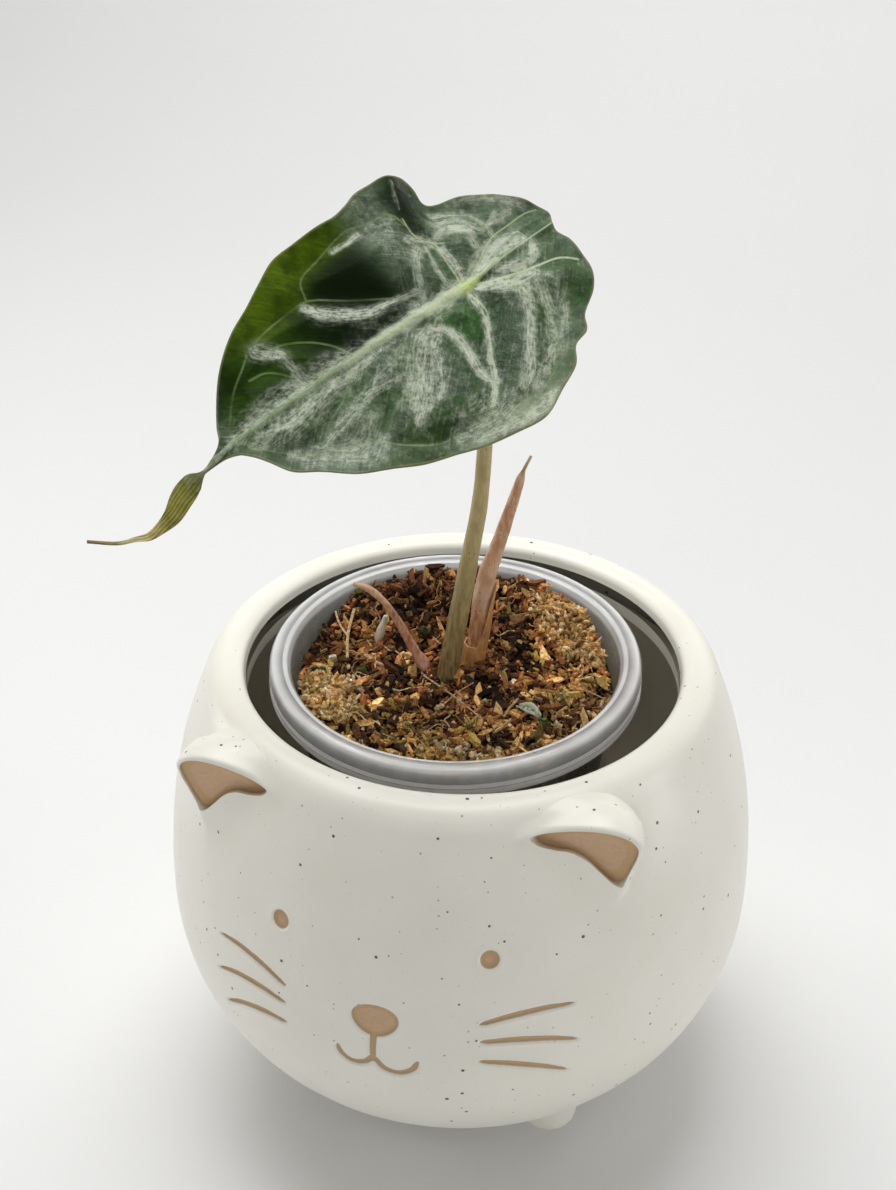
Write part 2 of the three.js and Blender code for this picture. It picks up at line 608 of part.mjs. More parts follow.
function dripTip() {
  const centres = DRIP_TIP.map(({ centre }) => leafPoint(...centre));
  const curve = new THREE.CatmullRomCurve3(centres);
  const rings = [];
  for (let i = 0; i <= DRIP_TIP_STEPS; i++) {
    const place = (i / DRIP_TIP_STEPS) * (DRIP_TIP.length - 1);
    const index = Math.min(DRIP_TIP.length - 2, Math.floor(place));
    const share = place - index;
    const at = (key) => THREE.MathUtils.lerp(DRIP_TIP[index][key], DRIP_TIP[index + 1][key], share);
    const forward = curve.getTangent(i / DRIP_TIP_STEPS);
    const level = LEAF.side.clone().addScaledVector(forward, -LEAF.side.dot(forward)).normalize();
    const up = forward.clone().cross(level).normalize();
    const turn = degrees(at('turn'));
    const across = level.clone().multiplyScalar(Math.cos(turn)).addScaledVector(up, Math.sin(turn));
    const through = forward.clone().cross(across).normalize();
    const middle = curve.getPoint(i / DRIP_TIP_STEPS);
    const half = at('width');
    rings.push(DRIP_TIP_SECTION.map(([u, v]) => middle.clone()
      .addScaledVector(across, u * half)
      .addScaledVector(through, v)));
  }
  return toSolid(loft(rings));
}

function leafBlade() {
  return bladeSolid().add(dripTip());
}

// Stems, by points on their centre lines and radii from foot, 0, to end, 1

// The petiole meets the underside of the blade square on
function petioleStem() {
  const seat = bladeHeight(0, 0) - bladeDepth(0, 0) - SEAT_GAP;
  return {
    points: [vec(-6.4, 1.1, 102), vec(-5.4, 1.3, 108), vec(-4.5, 1.5, 114), vec(-3.2, 1.9, 124.5),
      vec(-1.3, 2.4, 137.6), vec(0.9, 2.9, 152.8), vec(2.7, 3.4, 166), vec(3.6, 3.9, 181.8),
      vec(3.3, 4.7, 197), vec(1, 5.2, 210), leafPoint(0, 0, seat - 3.5), leafPoint(0, 0, seat)],
    radii: [[0, 2.6], [0.1, 2.75], [0.5, 2.05], [0.7, 1.75], [0.92, 1.6], [0.97, 1.8], [1, 2.1]],
    steps: 22,
    sides: 10,
  };
}

const NEW_LEAF = {
  points: [vec(-2.2, 8.6, 103), vec(-0.9, 9.2, 110), vec(0.3, 9.7, 117.3), vec(1.2, 10, 125),
    vec(1.9, 10.2, 133.5), vec(3.3, 10.5, 142), vec(6.3, 11.3, 152.6), vec(8.9, 11.9, 162.1),
    vec(11, 12.5, 170.6), vec(12.9, 12.9, 175.4)],
  radii: [[0, 1.9], [0.2, 2.1], [0.45, 2.45], [0.6, 2.1], [0.8, 1.5], [0.91, 1.05], [0.94, 0.5],
    [1, 0.35]],
  steps: 18,
  sides: 8,
};

// The sheath wraps the foot of the new leaf and ends in a point on its right
const SHEATH_WALL = 0.7;
const SHEATH_GAP = 0.35;
const SHEATH_SHARE = 0.5;
const SHEATH_FOOT = 0.02;
const SHEATH_SIDES = 14;
const SHEATH_ROWS = 6;

// The old petiole, dried and bent over, with the swollen foot that it grew from
const OLD_PETIOLE = {
  points: [vec(-10.6, 4.9, 106), vec(-11.3, 4.7, 110.5), vec(-12.1, 4.5, 116), vec(-15, 3.8, 122),
    vec(-17.9, 3.2, 128.2), vec(-21.3, 3, 133.3), vec(-25.4, 3.4, 136.4), vec(-30, 4.6, 136.6)],
  radii: [[0, 1.5], [0.15, 2], [0.24, 1.9], [0.34, 1.15], [0.6, 0.95], [0.9, 0.8], [1, 0.6]],
  steps: 15,
  sides: 7,
};

// A dry pale bract that stands up beside the old petiole
const DRY_BRACT = {
  points: [vec(-27, 9.4, 109), vec(-26, 9.6, 114), vec(-24.9, 9.9, 119), vec(-23.4, 10.3, 124.6)],
  radii: [[0, 0.8], [0.45, 1.2], [0.8, 1.1], [1, 0.5]],
  steps: 6,
  sides: 6,
};

function sheath() {
  const { points, radii } = NEW_LEAF;
  const curve = new THREE.CatmullRomCurve3(points);
  const [sides, rows] = [SHEATH_SIDES, SHEATH_ROWS];
  const side = vec(0.96, 0.27, 0);
  const ahead = vec(-0.27, 0.96, 0);
  const inner = [];
  const outer = [];
  for (let i = 0; i <= rows; i++) {
    for (let j = 0; j < sides; j++) {
      const angle = (2 * Math.PI * j) / sides;
      const reach = SHEATH_SHARE * (0.5 + 0.5 * Math.max(0, Math.cos(angle)) ** 1.5);
      const s = THREE.MathUtils.lerp(SHEATH_FOOT, reach, i / rows);
      const centre = curve.getPointAt(s);
      const out = side.clone().multiplyScalar(Math.cos(angle)).addScaledVector(ahead, Math.sin(angle));
      const radius = along(radii, s) + SHEATH_GAP;
      inner.push(centre.clone().addScaledVector(out, radius));
      outer.push(centre.clone().addScaledVector(out, radius + SHEATH_WALL));
    }
  }
  const count = inner.length;
  const faces = [];
  for (let j = 0; j < sides; j++) {
    const k = (j + 1) % sides;
    for (let i = 0; i < rows; i++) {
      const [a, b, c, d] = [i * sides + j, i * sides + k, (i + 1) * sides + k, (i + 1) * sides + j];
      faces.push([a + count, b + count, c + count], [a + count, c + count, d + count]);
      faces.push([a, c, b], [a, d, c]);
    }
    const top = rows * sides;
    faces.push([top + j + count, top + k + count, top + k], [top + j + count, top + k, top + j]);
    faces.push([j + count, k, k + count], [j + count, j, k]);
  }
  return toSolid(closedGeometry([...inner, ...outer], faces));
}

const stem = (shape, growth, end) => toSolid(loft(stemRings(shape, growth, end)));

// Growing mix: bark and coir chips over a relief that climbs towards the back of the cup

const MIX_Y = CUP_Y + (CUP_TOP_Z - MIX_Z) * LEAN_SIN;
const MIX_SEGMENTS = 34;
const MIX_RINGS = 9;
const CHIP_COUNT = 42;
const GRAIN_COUNT = 14;

function mixHeight(x, y) {
  const [u, v] = [x - CUP_X, y - CUP_Y];
  const back = THREE.MathUtils.smoothstep(v * 0.97 - u * 0.25, 2, 40);
  const waves = 0.5 * Math.sin(0.45 * u + 1.3) * Math.cos(0.38 * v) + 0.35 * Math.sin(0.9 * v + 0.5 * u);
  return MIX_Z + MIX_CLIMB * back + waves;
}

function mixBody() {
  const random = seededRandom(11);
  const rings = [];
  for (let i = 1; i <= MIX_RINGS; i++) {
    const ring = [];
    for (let j = 0; j < MIX_SEGMENTS; j++) {
      const angle = (2 * Math.PI * j) / MIX_SEGMENTS;
      const reach = cupInnerRadius(MIX_Z) - MIX_GAP - 0.4;
      const radius = (i / MIX_RINGS) * reach;
      const x = CUP_X + radius * Math.cos(angle);
      const y = MIX_Y + radius * Math.sin(angle);
      ring.push(vec(x, y, mixHeight(x, y) + 0.9 * (random() - 0.5)));
    }
    rings.push(ring);
  }
  for (const z of [CUP_FLOOR_Z + 3, CUP_FLOOR_Z + CUP_WALL + MIX_GAP]) {
    const radius = cupInnerRadius(z) - MIX_GAP - (z < CUP_FLOOR_Z + 2 ? 2.6 : 0.4);
    const ring = [];
    for (let j = 0; j < MIX_SEGMENTS; j++) {
      const angle = (2 * Math.PI * j) / MIX_SEGMENTS;
      ring.push(leanPoint(CUP_X + radius * Math.cos(angle), CUP_Y + radius * Math.sin(angle), z));
    }
    rings.push(ring);
  }
  return toSolid(loft(rings));
}

// Clumps of tan moss at two places along the wall
const MOSS_CLUMPS = [
  { name: 'moss_left', x: -30, y: -16.5, width: 12.5, depth: 7, turn: 132, strands: 9, seed: 5 },
  { name: 'moss_right', x: 21, y: 25, width: 16, depth: 7.5, turn: 142, strands: 10, seed: 8 },
];

// The scrap of leaf on the mix
const SCRAP = { x: 19.2, y: -8.6, length: 7.2, turn: -28, lift: 0.25, arch: 0.8 };

// Chips and grains keep clear of the clumps and of the scrap
const isTaken = (x, y) => Math.hypot(x - SCRAP.x, y - SCRAP.y) < SCRAP.length
  || MOSS_CLUMPS.some((clump) => Math.hypot(x - clump.x, y - clump.y) < clump.width + 1);

function mixPlace(random, reach) {
  for (;;) {
    const radius = Math.sqrt(random()) * reach;
    const angle = 2 * Math.PI * random();
    const place = [CUP_X + radius * Math.cos(angle), CUP_Y + radius * Math.sin(angle)];
    if (!isTaken(...place)) {
      return place;
    }
  }
}

function chips() {
  const random = seededRandom(23);
  const solids = [];
  for (let k = 0; k < CHIP_COUNT; k++) {
    const [x, y] = mixPlace(random, 34.5);
    const chip = new THREE.BoxGeometry(3 + 4.5 * random(), 1.5 + 1.4 * random(), 1.2 + random());
    chip.rotateX(1.2 * (random() - 0.5)).rotateY(0.9 * (random() - 0.5));
    chip.rotateZ(Math.PI * random());
    chip.translate(x, y, mixHeight(x, y) + 0.35 + 0.4 * random());
    solids.push(toSolid(chip));
  }
  for (let k = 0; k < GRAIN_COUNT; k++) {
    const [x, y] = mixPlace(random, 35.5);
    const grain = new THREE.OctahedronGeometry(0.8 + 0.5 * random(), 0);
    grain.rotateX(3 * random()).rotateY(3 * random());
    grain.translate(x, y, mixHeight(x, y) + 0.5);
    solids.push(toSolid(grain));
  }
  return joined(solids);
}

function growingMix(stems) {
  const sockets = joined(stems.map(({ shape, growth, end }) => stem(shape, growth, end)));
  return largestBody(mixBody().add(chips()).subtract(sockets));
}

// A clump is a low core with strands over it, cut to sit on the mix
function mossClump({ x, y, width, depth, turn, strands, seed }, mix) {
  const random = seededRandom(seed);
  const core = new THREE.SphereGeometry(1, 10, 5);
  core.rotateX(Math.PI / 2).scale(width * 0.8, depth * 0.8, 2.6).rotateZ(degrees(turn));
  core.translate(x, y, mixHeight(x, y) + 0.6);
  const solids = [toSolid(core)];
  for (let k = 0; k < strands; k++) {
    const spread = 2 * Math.PI * random();
    const reach = 0.6 * Math.sqrt(random());
    const [u, v] = [width * reach * Math.cos(spread), depth * reach * Math.sin(spread)];
    const way = degrees(turn);
    const cx = x + u * Math.cos(way) - v * Math.sin(way);
    const cy = y + u * Math.sin(way) + v * Math.cos(way);
    const heading = way + 1.6 * (random() - 0.5);
    const half = 3 + 2 * random();
    const rise = 1.9 + 0.9 * random();
    const points = [-1, -0.4, 0.4, 1].map((share) => vec(cx + share * half * Math.cos(heading),
      cy + share * half * Math.sin(heading) + 0.8 * share * share * (random() - 0.5),
      mixHeight(cx, cy) + rise * (1 - 0.75 * share * share) + 0.5));
    solids.push(stem({ points, radii: [[0, 0.5], [0.5, 0.85], [1, 0.5]], steps: 3, sides: 4 }));
  }
  const wall = cupInnerRadius(MIX_Z) - MIX_GAP;
  const room = new THREE.CylinderGeometry(wall, wall, 20, MIX_SEGMENTS).rotateX(Math.PI / 2);
  room.translate(CUP_X, MIX_Y, MIX_Z);
  const clump = joined(solids).intersect(toSolid(room));
  return largestBody(clump.subtract(mix.translate([0, 0, SEAT_GAP])));
}

// A torn scrap of pale leaf that lies on the mix, arched and folded along its rib
function leafScrap() {
  const rings = [];
  for (let i = 0; i <= 6; i++) {
    const s = i / 6 - 0.5;
    const half = 0.5 + 1.5 * Math.cos(Math.PI * s * 0.9);
    const x = SCRAP.x + SCRAP.length * s * Math.cos(degrees(SCRAP.turn));
    const y = SCRAP.y + SCRAP.length * s * Math.sin(degrees(SCRAP.turn));
    const z = mixHeight(x, y) + SCRAP.lift + SCRAP.arch * (1 - 4 * s * s);
    rings.push([[-1, 0.8], [0, 0.2], [1, 1], [1, 1.8], [0, 1.3], [-1, 1.6]]
      .map(([across, up]) => vec(x + 0.45 * across * half, y + 0.9 * across * half, z + up)));
  }
  return toSolid(loft(rings));
}

// Assembly

const model = new THREE.Group();

function addPiece(name, solid, color, roughness, look = {}) {
  const material = new THREE.MeshStandardMaterial({ color, roughness, metalness: 0, ...look });
  const mesh = new THREE.Mesh(toGeometry(solid), material);
  mesh.name = name;
  model.add(mesh);
}

const petiole = petioleStem();
const socketed = [
  { shape: petiole, growth: SEAT_GAP, end: 0.2 },
  { shape: NEW_LEAF, growth: SHEATH_GAP + SHEATH_WALL + 1.5 * SEAT_GAP, end: 0.34 },
  { shape: OLD_PETIOLE, growth: SEAT_GAP, end: 0.34 },
  { shape: DRY_BRACT, growth: SEAT_GAP, end: 0.7 },
];
const mix = growingMix(socketed);

addPiece('planter', planter(), '#e9e6de', 0.45);
addPiece('cup', cup(), '#d5d9da', 0.2, { transparent: true, opacity: 0.5 });
addPiece('growing_mix', mix, '#6b4226', 0.95);
for (const clump of MOSS_CLUMPS) {
  addPiece(clump.name, mossClump(clump, mix), '#a8895a', 0.95);
}
addPiece('leaf_scrap', leafScrap(), '#a9b291', 0.8);
addPiece('petiole', stem(petiole), '#8c8650', 0.55);
addPiece('leaf_blade', leafBlade(), '#2c4a2c', 0.35);
addPiece('new_leaf', stem(NEW_LEAF), '#9a6a58', 0.6);
addPiece('sheath', sheath(), '#a86a35', 0.7);
addPiece('old_petiole', stem(OLD_PETIOLE), '#b07a6a', 0.65);
addPiece('dry_bract', stem(DRY_BRACT), '#cfc8b4', 0.85);

model.updateMatrixWorld(true);
const box = new THREE.Box3().setFromObject(model);
const middle = box.getCenter(new THREE.Vector3());
model.position.set(-middle.x, -middle.y, 0);

export default model;
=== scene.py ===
"""Looks of the potted venom alocasia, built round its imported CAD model.

Shapes are worked out in millimetres in the row frame and become metres in Piece.build.
"""

import math

import bpy
import numpy as np
from mathutils import Matrix


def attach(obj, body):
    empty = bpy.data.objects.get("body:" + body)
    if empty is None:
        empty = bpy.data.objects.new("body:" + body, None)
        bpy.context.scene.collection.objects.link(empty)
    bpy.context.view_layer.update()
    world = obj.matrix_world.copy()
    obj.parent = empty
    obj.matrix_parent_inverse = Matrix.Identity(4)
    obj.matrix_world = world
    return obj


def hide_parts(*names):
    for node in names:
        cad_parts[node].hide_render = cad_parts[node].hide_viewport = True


MM = 0.001

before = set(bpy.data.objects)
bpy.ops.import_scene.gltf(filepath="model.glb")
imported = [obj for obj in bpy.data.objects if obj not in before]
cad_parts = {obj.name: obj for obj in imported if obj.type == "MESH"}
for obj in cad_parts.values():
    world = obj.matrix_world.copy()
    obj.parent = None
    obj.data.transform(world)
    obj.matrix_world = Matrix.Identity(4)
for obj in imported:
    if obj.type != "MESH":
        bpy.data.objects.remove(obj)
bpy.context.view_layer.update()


# Small sums


def unit(v):
    v = np.asarray(v, float)
    return v / np.linalg.norm(v, axis=-1, keepdims=True)


def smooth(x, low, high):
    """0 below low and 1 above high, with a soft step between; low may be the higher."""
    t = np.clip((x - low) / (high - low), 0, 1)
    return t * t * (3 - 2 * t)


def bell(x, width):
    return np.exp(-((x / width) ** 2))


def soft_min(a, b, k):
    """The lesser of two, rounded over where they are within k."""
    h = np.maximum(k - np.abs(a - b), 0) / k
    return np.minimum(a, b) - h * h * k / 4


def soft_max(a, b, k):
    return -soft_min(-a, -b, k)


def soft_noise(x, y, seed):
    """Smooth random values from 0 to 1 over the plane, one swell a unit."""
    table = np.random.default_rng(seed).random((61, 61))
    i, j = np.floor(x).astype(int), np.floor(y).astype(int)
    u, v = x - i, y - j
    u, v = u * u * (3 - 2 * u), v * v * (3 - 2 * v)
    i, j = i % 60, j % 60
    low = table[i, j] * (1 - u) + table[i + 1, j] * u
    high = table[i, j + 1] * (1 - u) + table[i + 1, j + 1] * u
    return low * (1 - v) + high * v


class Curve:
    """A centripetal Catmull-Rom curve through points, which can be read evenly along its length."""

    def __init__(self, points, closed=False):
        p = np.asarray(points, float)
        if closed:
            self.spans = len(p)
            self.points = np.vstack([p[-1:], p, p[:2]])
        else:
            self.spans = len(p) - 1
            self.points = np.vstack([2 * p[:1] - p[1:2], p, 2 * p[-1:] - p[-2:-1]])
        self.steps = np.linspace(0, 1, 201)
        line = self.at(self.steps)
        lengths = np.r_[0, np.cumsum(np.linalg.norm(np.diff(line, axis=0), axis=1))]
        self.lengths = lengths / lengths[-1]

    def at(self, t):
        t = np.clip(np.asarray(t, float), 0, 1) * self.spans
        i = np.minimum(t.astype(int), self.spans - 1)
        w = (t - i)[..., None]
        p0, p1, p2, p3 = (self.points[i + k] for k in range(4))

        def gap(a, b):
            return np.maximum(np.sqrt(np.linalg.norm(b - a, axis=-1, keepdims=True)), 1e-4)

        d0, d1, d2 = gap(p0, p1), gap(p1, p2), gap(p2, p3)
        m1 = ((p1 - p0) / d0 - (p2 - p0) / (d0 + d1) + (p2 - p1) / d1) * d1
        m2 = ((p2 - p1) / d1 - (p3 - p1) / (d1 + d2) + (p3 - p2) / d2) * d1
        c2 = -3 * p1 + 3 * p2 - 2 * m1 - m2
        c3 = 2 * p1 - 2 * p2 + m1 + m2
        return p1 + w * (m1 + w * (c2 + w * c3))

    def even(self, s):
        return self.at(np.interp(s, self.lengths, self.steps))

    def points_at(self, count):
        return self.at(np.linspace(0, 1, count))

    def around(self, count):
        """Even points round a closed curve."""
        return self.even(np.linspace(0, 1, count, endpoint=False))


def line_distance(x, y, line, full=False):
    """Distance of points from a polyline, and with full also the share and mm along it and the side."""
    line = np.asarray(line, float)
    best = np.full(np.shape(x), 1e9)
    place, side = np.zeros(np.shape(x)), np.zeros(np.shape(x))
    for k in range(len(line) - 1):
        (x0, y0), (dx, dy) = line[k], line[k + 1] - line[k]
        t = np.clip(((x - x0) * dx + (y - y0) * dy) / (dx * dx + dy * dy), 0, 1)
        d = np.hypot(x - x0 - t * dx, y - y0 - t * dy)
        near = d < best
        best = np.where(near, d, best)
        place = np.where(near, (k + t) / (len(line) - 1), place)
        side = np.where(near, np.sign((x - x0) * dy - (y - y0) * dx), side)
    length = np.linalg.norm(np.diff(line, axis=0), axis=1).sum()
    return (best, place, place * length, side) if full else best


def outline_distance(x, y, outline):
    """Signed distance from a closed outline, positive inside."""
    ring = np.vstack([outline, outline[:1]])
    inside = np.zeros(np.shape(x), bool)
    for (x0, y0), (x1, y1) in zip(ring[:-1], ring[1:]):
        if y0 != y1:
            crosses = (y0 > y) != (y1 > y)
            inside ^= crosses & (x < x0 + (y - y0) * (x1 - x0) / (y1 - y0))
    return np.where(inside, 1, -1) * line_distance(x, y, ring)


def round_angles(count):
    return np.linspace(0, 2 * math.pi, count, endpoint=False)


def ramp(at, stops, colors):
    """Colours read between stops."""
    return np.stack([np.interp(at, stops, channel) for channel in np.transpose(colors)], 1)


# Pieces


def grid_faces(rows, columns, closed=False):
    """Quads over a grid of points; they face out where across x along is out."""
    i, j = np.meshgrid(np.arange(rows - 1), np.arange(columns if closed else columns - 1), indexing="ij")
    i, j = i.ravel(), j.ravel()
    k = (j + 1) % columns
    return np.stack([i * columns + j, i * columns + k, (i + 1) * columns + k, (i + 1) * columns + j], 1)


class Piece:
    """Vertices, faces and values at the vertices of one piece, which build() makes a mesh of."""

    def __init__(self):
        self.vertices, self.faces, self.values, self.count = [], [], {}, 0

    def add(self, vertices, faces, **values):
        vertices = np.asarray(vertices, float).reshape(-1, 3)
        self.vertices.append(vertices)
        for block in faces if isinstance(faces, list) else [faces]:
            self.faces += (np.asarray(block) + self.count).tolist()
        for name, value in values.items():
            value = np.asarray(value, float)
            shape = (len(vertices),) + value.shape[1 if value.shape[:1] == (len(vertices),) else 0 :]
            self.values.setdefault(name, []).append(np.broadcast_to(value, shape))
        self.count += len(vertices)

    def build(self, name, look, node, sharp=None, flat=False):
        """Makes the mesh, which rides the one body and stands for a node of the CAD model."""
        mesh = bpy.data.meshes.new(name)
        mesh.from_pydata((np.vstack(self.vertices) * MM).tolist(), [], self.faces)
        for key, blocks in self.values.items():
            block = np.concatenate(blocks).astype(np.float32)
            kind, field = ("FLOAT", "value") if block.ndim == 1 else ("FLOAT_VECTOR", "vector")
            mesh.attributes.new(key, kind, "POINT").data.foreach_set(field, block.ravel())
        mesh.polygons.foreach_set("use_smooth", np.full(len(mesh.polygons), not flat))
        mesh.update()
        if sharp:
            mesh.set_sharp_from_angle(angle=math.radians(sharp))
        mesh.materials.append(look)
        piece = bpy.data.objects.new(name, mesh)
        bpy.context.scene.collection.objects.link(piece)
        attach(piece, "root")
        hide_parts(node)


def closed_tube(line, rings):
    """Vertices and faces of rings round a line, with a middle point that closes each end."""
    count, sides = rings.shape[:2]
    n = count * sides
    j = np.arange(sides)
    k = (j + 1) % sides
    caps = np.vstack([np.stack([k, j, np.full(sides, n)], 1),
                      np.stack([n - sides + j, n - sides + k, np.full(sides, n + 1)], 1)])
    vertices = np.vstack([rings.reshape(-1, 3), line[:1], line[-1:]])
    return vertices, [grid_faces(count, sides, True), caps]


def tube(points, radii, sides):
    """A round closed tube along a line of points."""
    points = np.asarray(points, float)
    count = len(points)
    ahead = unit(np.gradient(points, axis=0))
    across = np.zeros_like(points)
    first = np.cross(ahead[0], [0.3, 0.2, 0.93])
    across[0] = unit(first if np.linalg.norm(first) > 0.1 else np.cross(ahead[0], [1, 0, 0]))
    for k in range(1, count):
        across[k] = unit(across[k - 1] - ahead[k] * (across[k - 1] @ ahead[k]))
    angles = round_angles(sides)[None, :, None]
    radii = np.broadcast_to(radii, (count,))[:, None, None]
    ring = np.cos(angles) * across[:, None] + np.sin(angles) * np.cross(ahead, across)[:, None]
    return closed_tube(points, points[:, None] + radii * ring)


def sheet(top, low):
    """Vertices and faces of a thin closed sheet between two grids of points."""
    rows, columns = top.shape[:2]
    count = rows * columns
    faces = grid_faces(rows, columns)
    border = np.r_[np.arange(columns), np.arange(2, rows + 1) * columns - 1,
                   (rows - 1) * columns + np.arange(columns - 2, -1, -1),
                   np.arange(rows - 2, 0, -1) * columns]
    after = np.roll(border, -1)
    rim = np.stack([border, after, after + count, border + count], 1)
    return np.concatenate([top, low]), [faces[:, ::-1], faces + count, rim]


def lathe(profile, segments, centre=(0, 0)):
    """Turns [radius, height] points about a vertical axis; azimuth 0 is -Y."""
    profile = np.asarray(profile, float)
    turn = round_angles(segments)
    r = np.maximum(profile[:, :1], 1e-3)
    x = centre[0] + r * np.sin(turn)
    y = centre[1] - r * np.cos(turn)
    z = np.broadcast_to(profile[:, 1:], x.shape)
    return np.stack([x, y, z], -1).reshape(-1, 3), grid_faces(len(profile), segments, True)


# Looks


class Look:
    """A node material with one Principled shader."""

    NAMES = {"color": "Base Color", "specular": "Specular IOR Level", "subsurface": "Subsurface Weight"}

    def __init__(self, name, **sockets):
        self.material = bpy.data.materials.new(name)
        self.material.use_nodes = True
        self.tree = self.material.node_tree
        self.tree.nodes.clear()
        self.shader = self.tree.nodes.new("ShaderNodeBsdfPrincipled")
        output = self.tree.nodes.new("ShaderNodeOutputMaterial")
        self.tree.links.new(self.shader.outputs[0], output.inputs[0])
        self.set(**sockets)

    def put(self, socket, value):
        if isinstance(value, bpy.types.NodeSocket):
            self.tree.links.new(value, socket)
        elif isinstance(value, tuple) and socket.type == "RGBA":
            socket.default_value = (*value[:3], 1)
        else:
            socket.default_value = value

    def set(self, **sockets):
        for name, value in sockets.items():
            self.put(self.shader.inputs[self.NAMES.get(name, name.replace("_", " ").title())], value)

    def node(self, kind, inputs=(), **settings):
        made = self.tree.nodes.new("ShaderNode" + kind)
        for key, value in settings.items():
            setattr(made, key, value)
        for key, value in dict(inputs).items():
            self.put(made.inputs[key], value)
        return made

    def value(self, name):
        return self.node("Attribute", attribute_name=name).outputs["Fac"]

    def vector(self, name):
        return self.node("Attribute", attribute_name=name).outputs["Vector"]

    def place(self):
        return self.node("TexCoord").outputs["Object"]

    def math(self, operation, a, b=0.0, c=0.0):
        return self.node("Math", {0: a, 1: b, 2: c}, operation=operation).outputs[0]

    def times(self, a, b):
        return self.math("MULTIPLY", a, b)

    def plus(self, a, b):
        return self.math("ADD", a, b)

    def step(self, value, low, high, bottom=0.0, top=1.0):
        inputs = {0: value, 1: low, 2: high, 3: bottom, 4: top}
        return self.node("MapRange", inputs, interpolation_type="SMOOTHSTEP").outputs[0]

    def mix(self, share, a, b, blend="MIX"):
        return self.node("Mix", {0: share, 6: a, 7: b}, data_type="RGBA", blend_type=blend).outputs[2]

    def noise(self, size, detail=3.0, vector=None, roughness=0.55, stretch=None):
        """Noise with swells of about size, in mm for places, or in its own units for a given vector."""
        given = vector is not None
        vector = vector if given else self.place()
        if stretch:
            vector = self.node("VectorMath", {0: vector, 1: stretch}, operation="MULTIPLY").outputs[0]
        scale = (1.0 if given else 1000.0) / size
        inputs = {"Vector": vector, "Scale": scale, "Detail": detail, "Roughness": roughness}
        return self.node("TexNoise", inputs).outputs["Fac"]

    def specks(self, size, reach):
        """1 in scattered round specks, of random widths up to reach times the cell size."""
        cell = self.node("TexVoronoi", {"Vector": self.place(), "Scale": 1000.0 / size})
        random = self.node("SeparateColor", {0: cell.outputs["Color"]}).outputs[0]
        wide = self.times(self.math("POWER", random, 1.6), reach)
        return self.step(self.math("SUBTRACT", cell.outputs["Distance"], wide), 0.012, -0.012)

    def bump(self, height, depth, strength=1.0):
        """Relief of that depth in mm."""
        inputs = {"Strength": strength, "Distance": depth * MM, "Height": height}
        self.put(self.shader.inputs["Normal"], self.node("Bump", inputs).outputs[0])


def srgb(*c):
    c = np.array(c, float) / 255
    return tuple(np.where(c <= 0.04045, c / 12.92, ((c + 0.055) / 1.055) ** 2.4).tolist())


def glaze_look():
    look = Look("glaze", roughness=0.34, specular=0.5)
    clay, inner = look.value("clay"), look.value("inner")
    white = look.mix(look.noise(16, 4), srgb(249, 246, 236), srgb(240, 236, 223))
    for size, reach, share, color in ((1.5, 0.13, 0.26, srgb(160, 150, 132)),
                                      (2.7, 0.11, 0.6, srgb(116, 104, 88)),
                                      (4.1, 0.125, 0.92, srgb(58, 52, 44))):
        white = look.mix(look.times(look.specks(size, reach), share), white, color)
    tan = look.mix(look.noise(1.2, 5), srgb(196, 160, 122), srgb(220, 190, 156))
    tan = look.mix(look.step(look.noise(7, 2), 0.42, 0.66, 0.0, 0.5), tan, srgb(212, 174, 150))
    # An ochre band round each ear's hollow, then painted shade: greyer, darker clay along the edges of the
    # pressed marks and of the ears' hollows
    tan = look.mix(look.step(clay, 1.5, 1.0, 0.0, 0.6), tan, srgb(196, 162, 112))
    tan = look.mix(look.step(clay, 0.75, 0.3, 0.0, 0.6), tan, srgb(182, 164, 140))
    bare = look.mix(look.noise(6, 4), srgb(238, 230, 210), srgb(246, 239, 222))
    color = look.mix(look.step(clay, -0.14, 0.14), white, tan)
    unglazed = look.math("MAXIMUM", look.step(clay, -0.1, 0.14), inner)
    look.set(color=look.mix(inner, color, bare), roughness=look.step(unglazed, 0.0, 1.0, 0.34, 0.85))
    grain = look.times(look.noise(0.5, 2), look.step(clay, -0.05, 0.2, 0.2, 1.0))
    look.bump(look.plus(grain, look.times(look.noise(7, 2), 2.2)), 0.12, 0.55)
    return look.material


def cup_look():
    look = Look("clear_plastic", roughness=0.14, specular=0.6, subsurface=0.8,
                subsurface_radius=(1, 1, 1), subsurface_scale=8 * MM)
    thick = look.value("thick")
    # Thicker-looking plastic is more opaque, and whiter as painted highlight lines
    color = look.mix(look.step(thick, 0.3, 1.2), srgb(226, 229, 230), srgb(254, 254, 252))
    cloud = look.times(look.math("SUBTRACT", look.noise(9, 3), 0.5), 0.35)
    look.set(color=color, alpha=look.plus(look.math("MULTIPLY_ADD", thick, 0.66, 0.05), cloud))
    look.bump(look.noise(6, 2), 0.15, 0.35)
    return look.material


def mix_look():
    look = Look("bark_and_coir", roughness=0.85, specular=0.2)
    grain = look.noise(0.8, 5)
    shade = look.step(grain, 0.25, 0.75, 0.5, 1.45)
    shade = look.node("CombineColor", {0: shade, 1: shade, 2: shade}).outputs[0]
    look.set(color=look.mix(1.0, look.vector("tint"), shade, "MULTIPLY"))
    look.bump(grain, 0.6, 0.9)
    return look.material


def stalk_look(name, low, high, fleck, stretch=(1, 1, 0.25), roughness=0.42, streaky=1.0):
    look = Look(name, roughness=roughness, specular=0.45, subsurface=0.05)
    streak = look.noise(0.8, 4, stretch=stretch)
    patch = look.noise(7, 2)
    color = look.mix(look.step(streak, 0.35, 0.65, 0.0, streaky), look.vector("tint"), high)
    color = look.mix(look.step(patch, 0.4, 0.7, 0.0, 0.5), color, low)
    look.set(color=look.mix(look.times(look.specks(1.1, 0.24), 0.6), color, fleck))
    look.bump(streak, 0.25, 0.6)
    return look.material


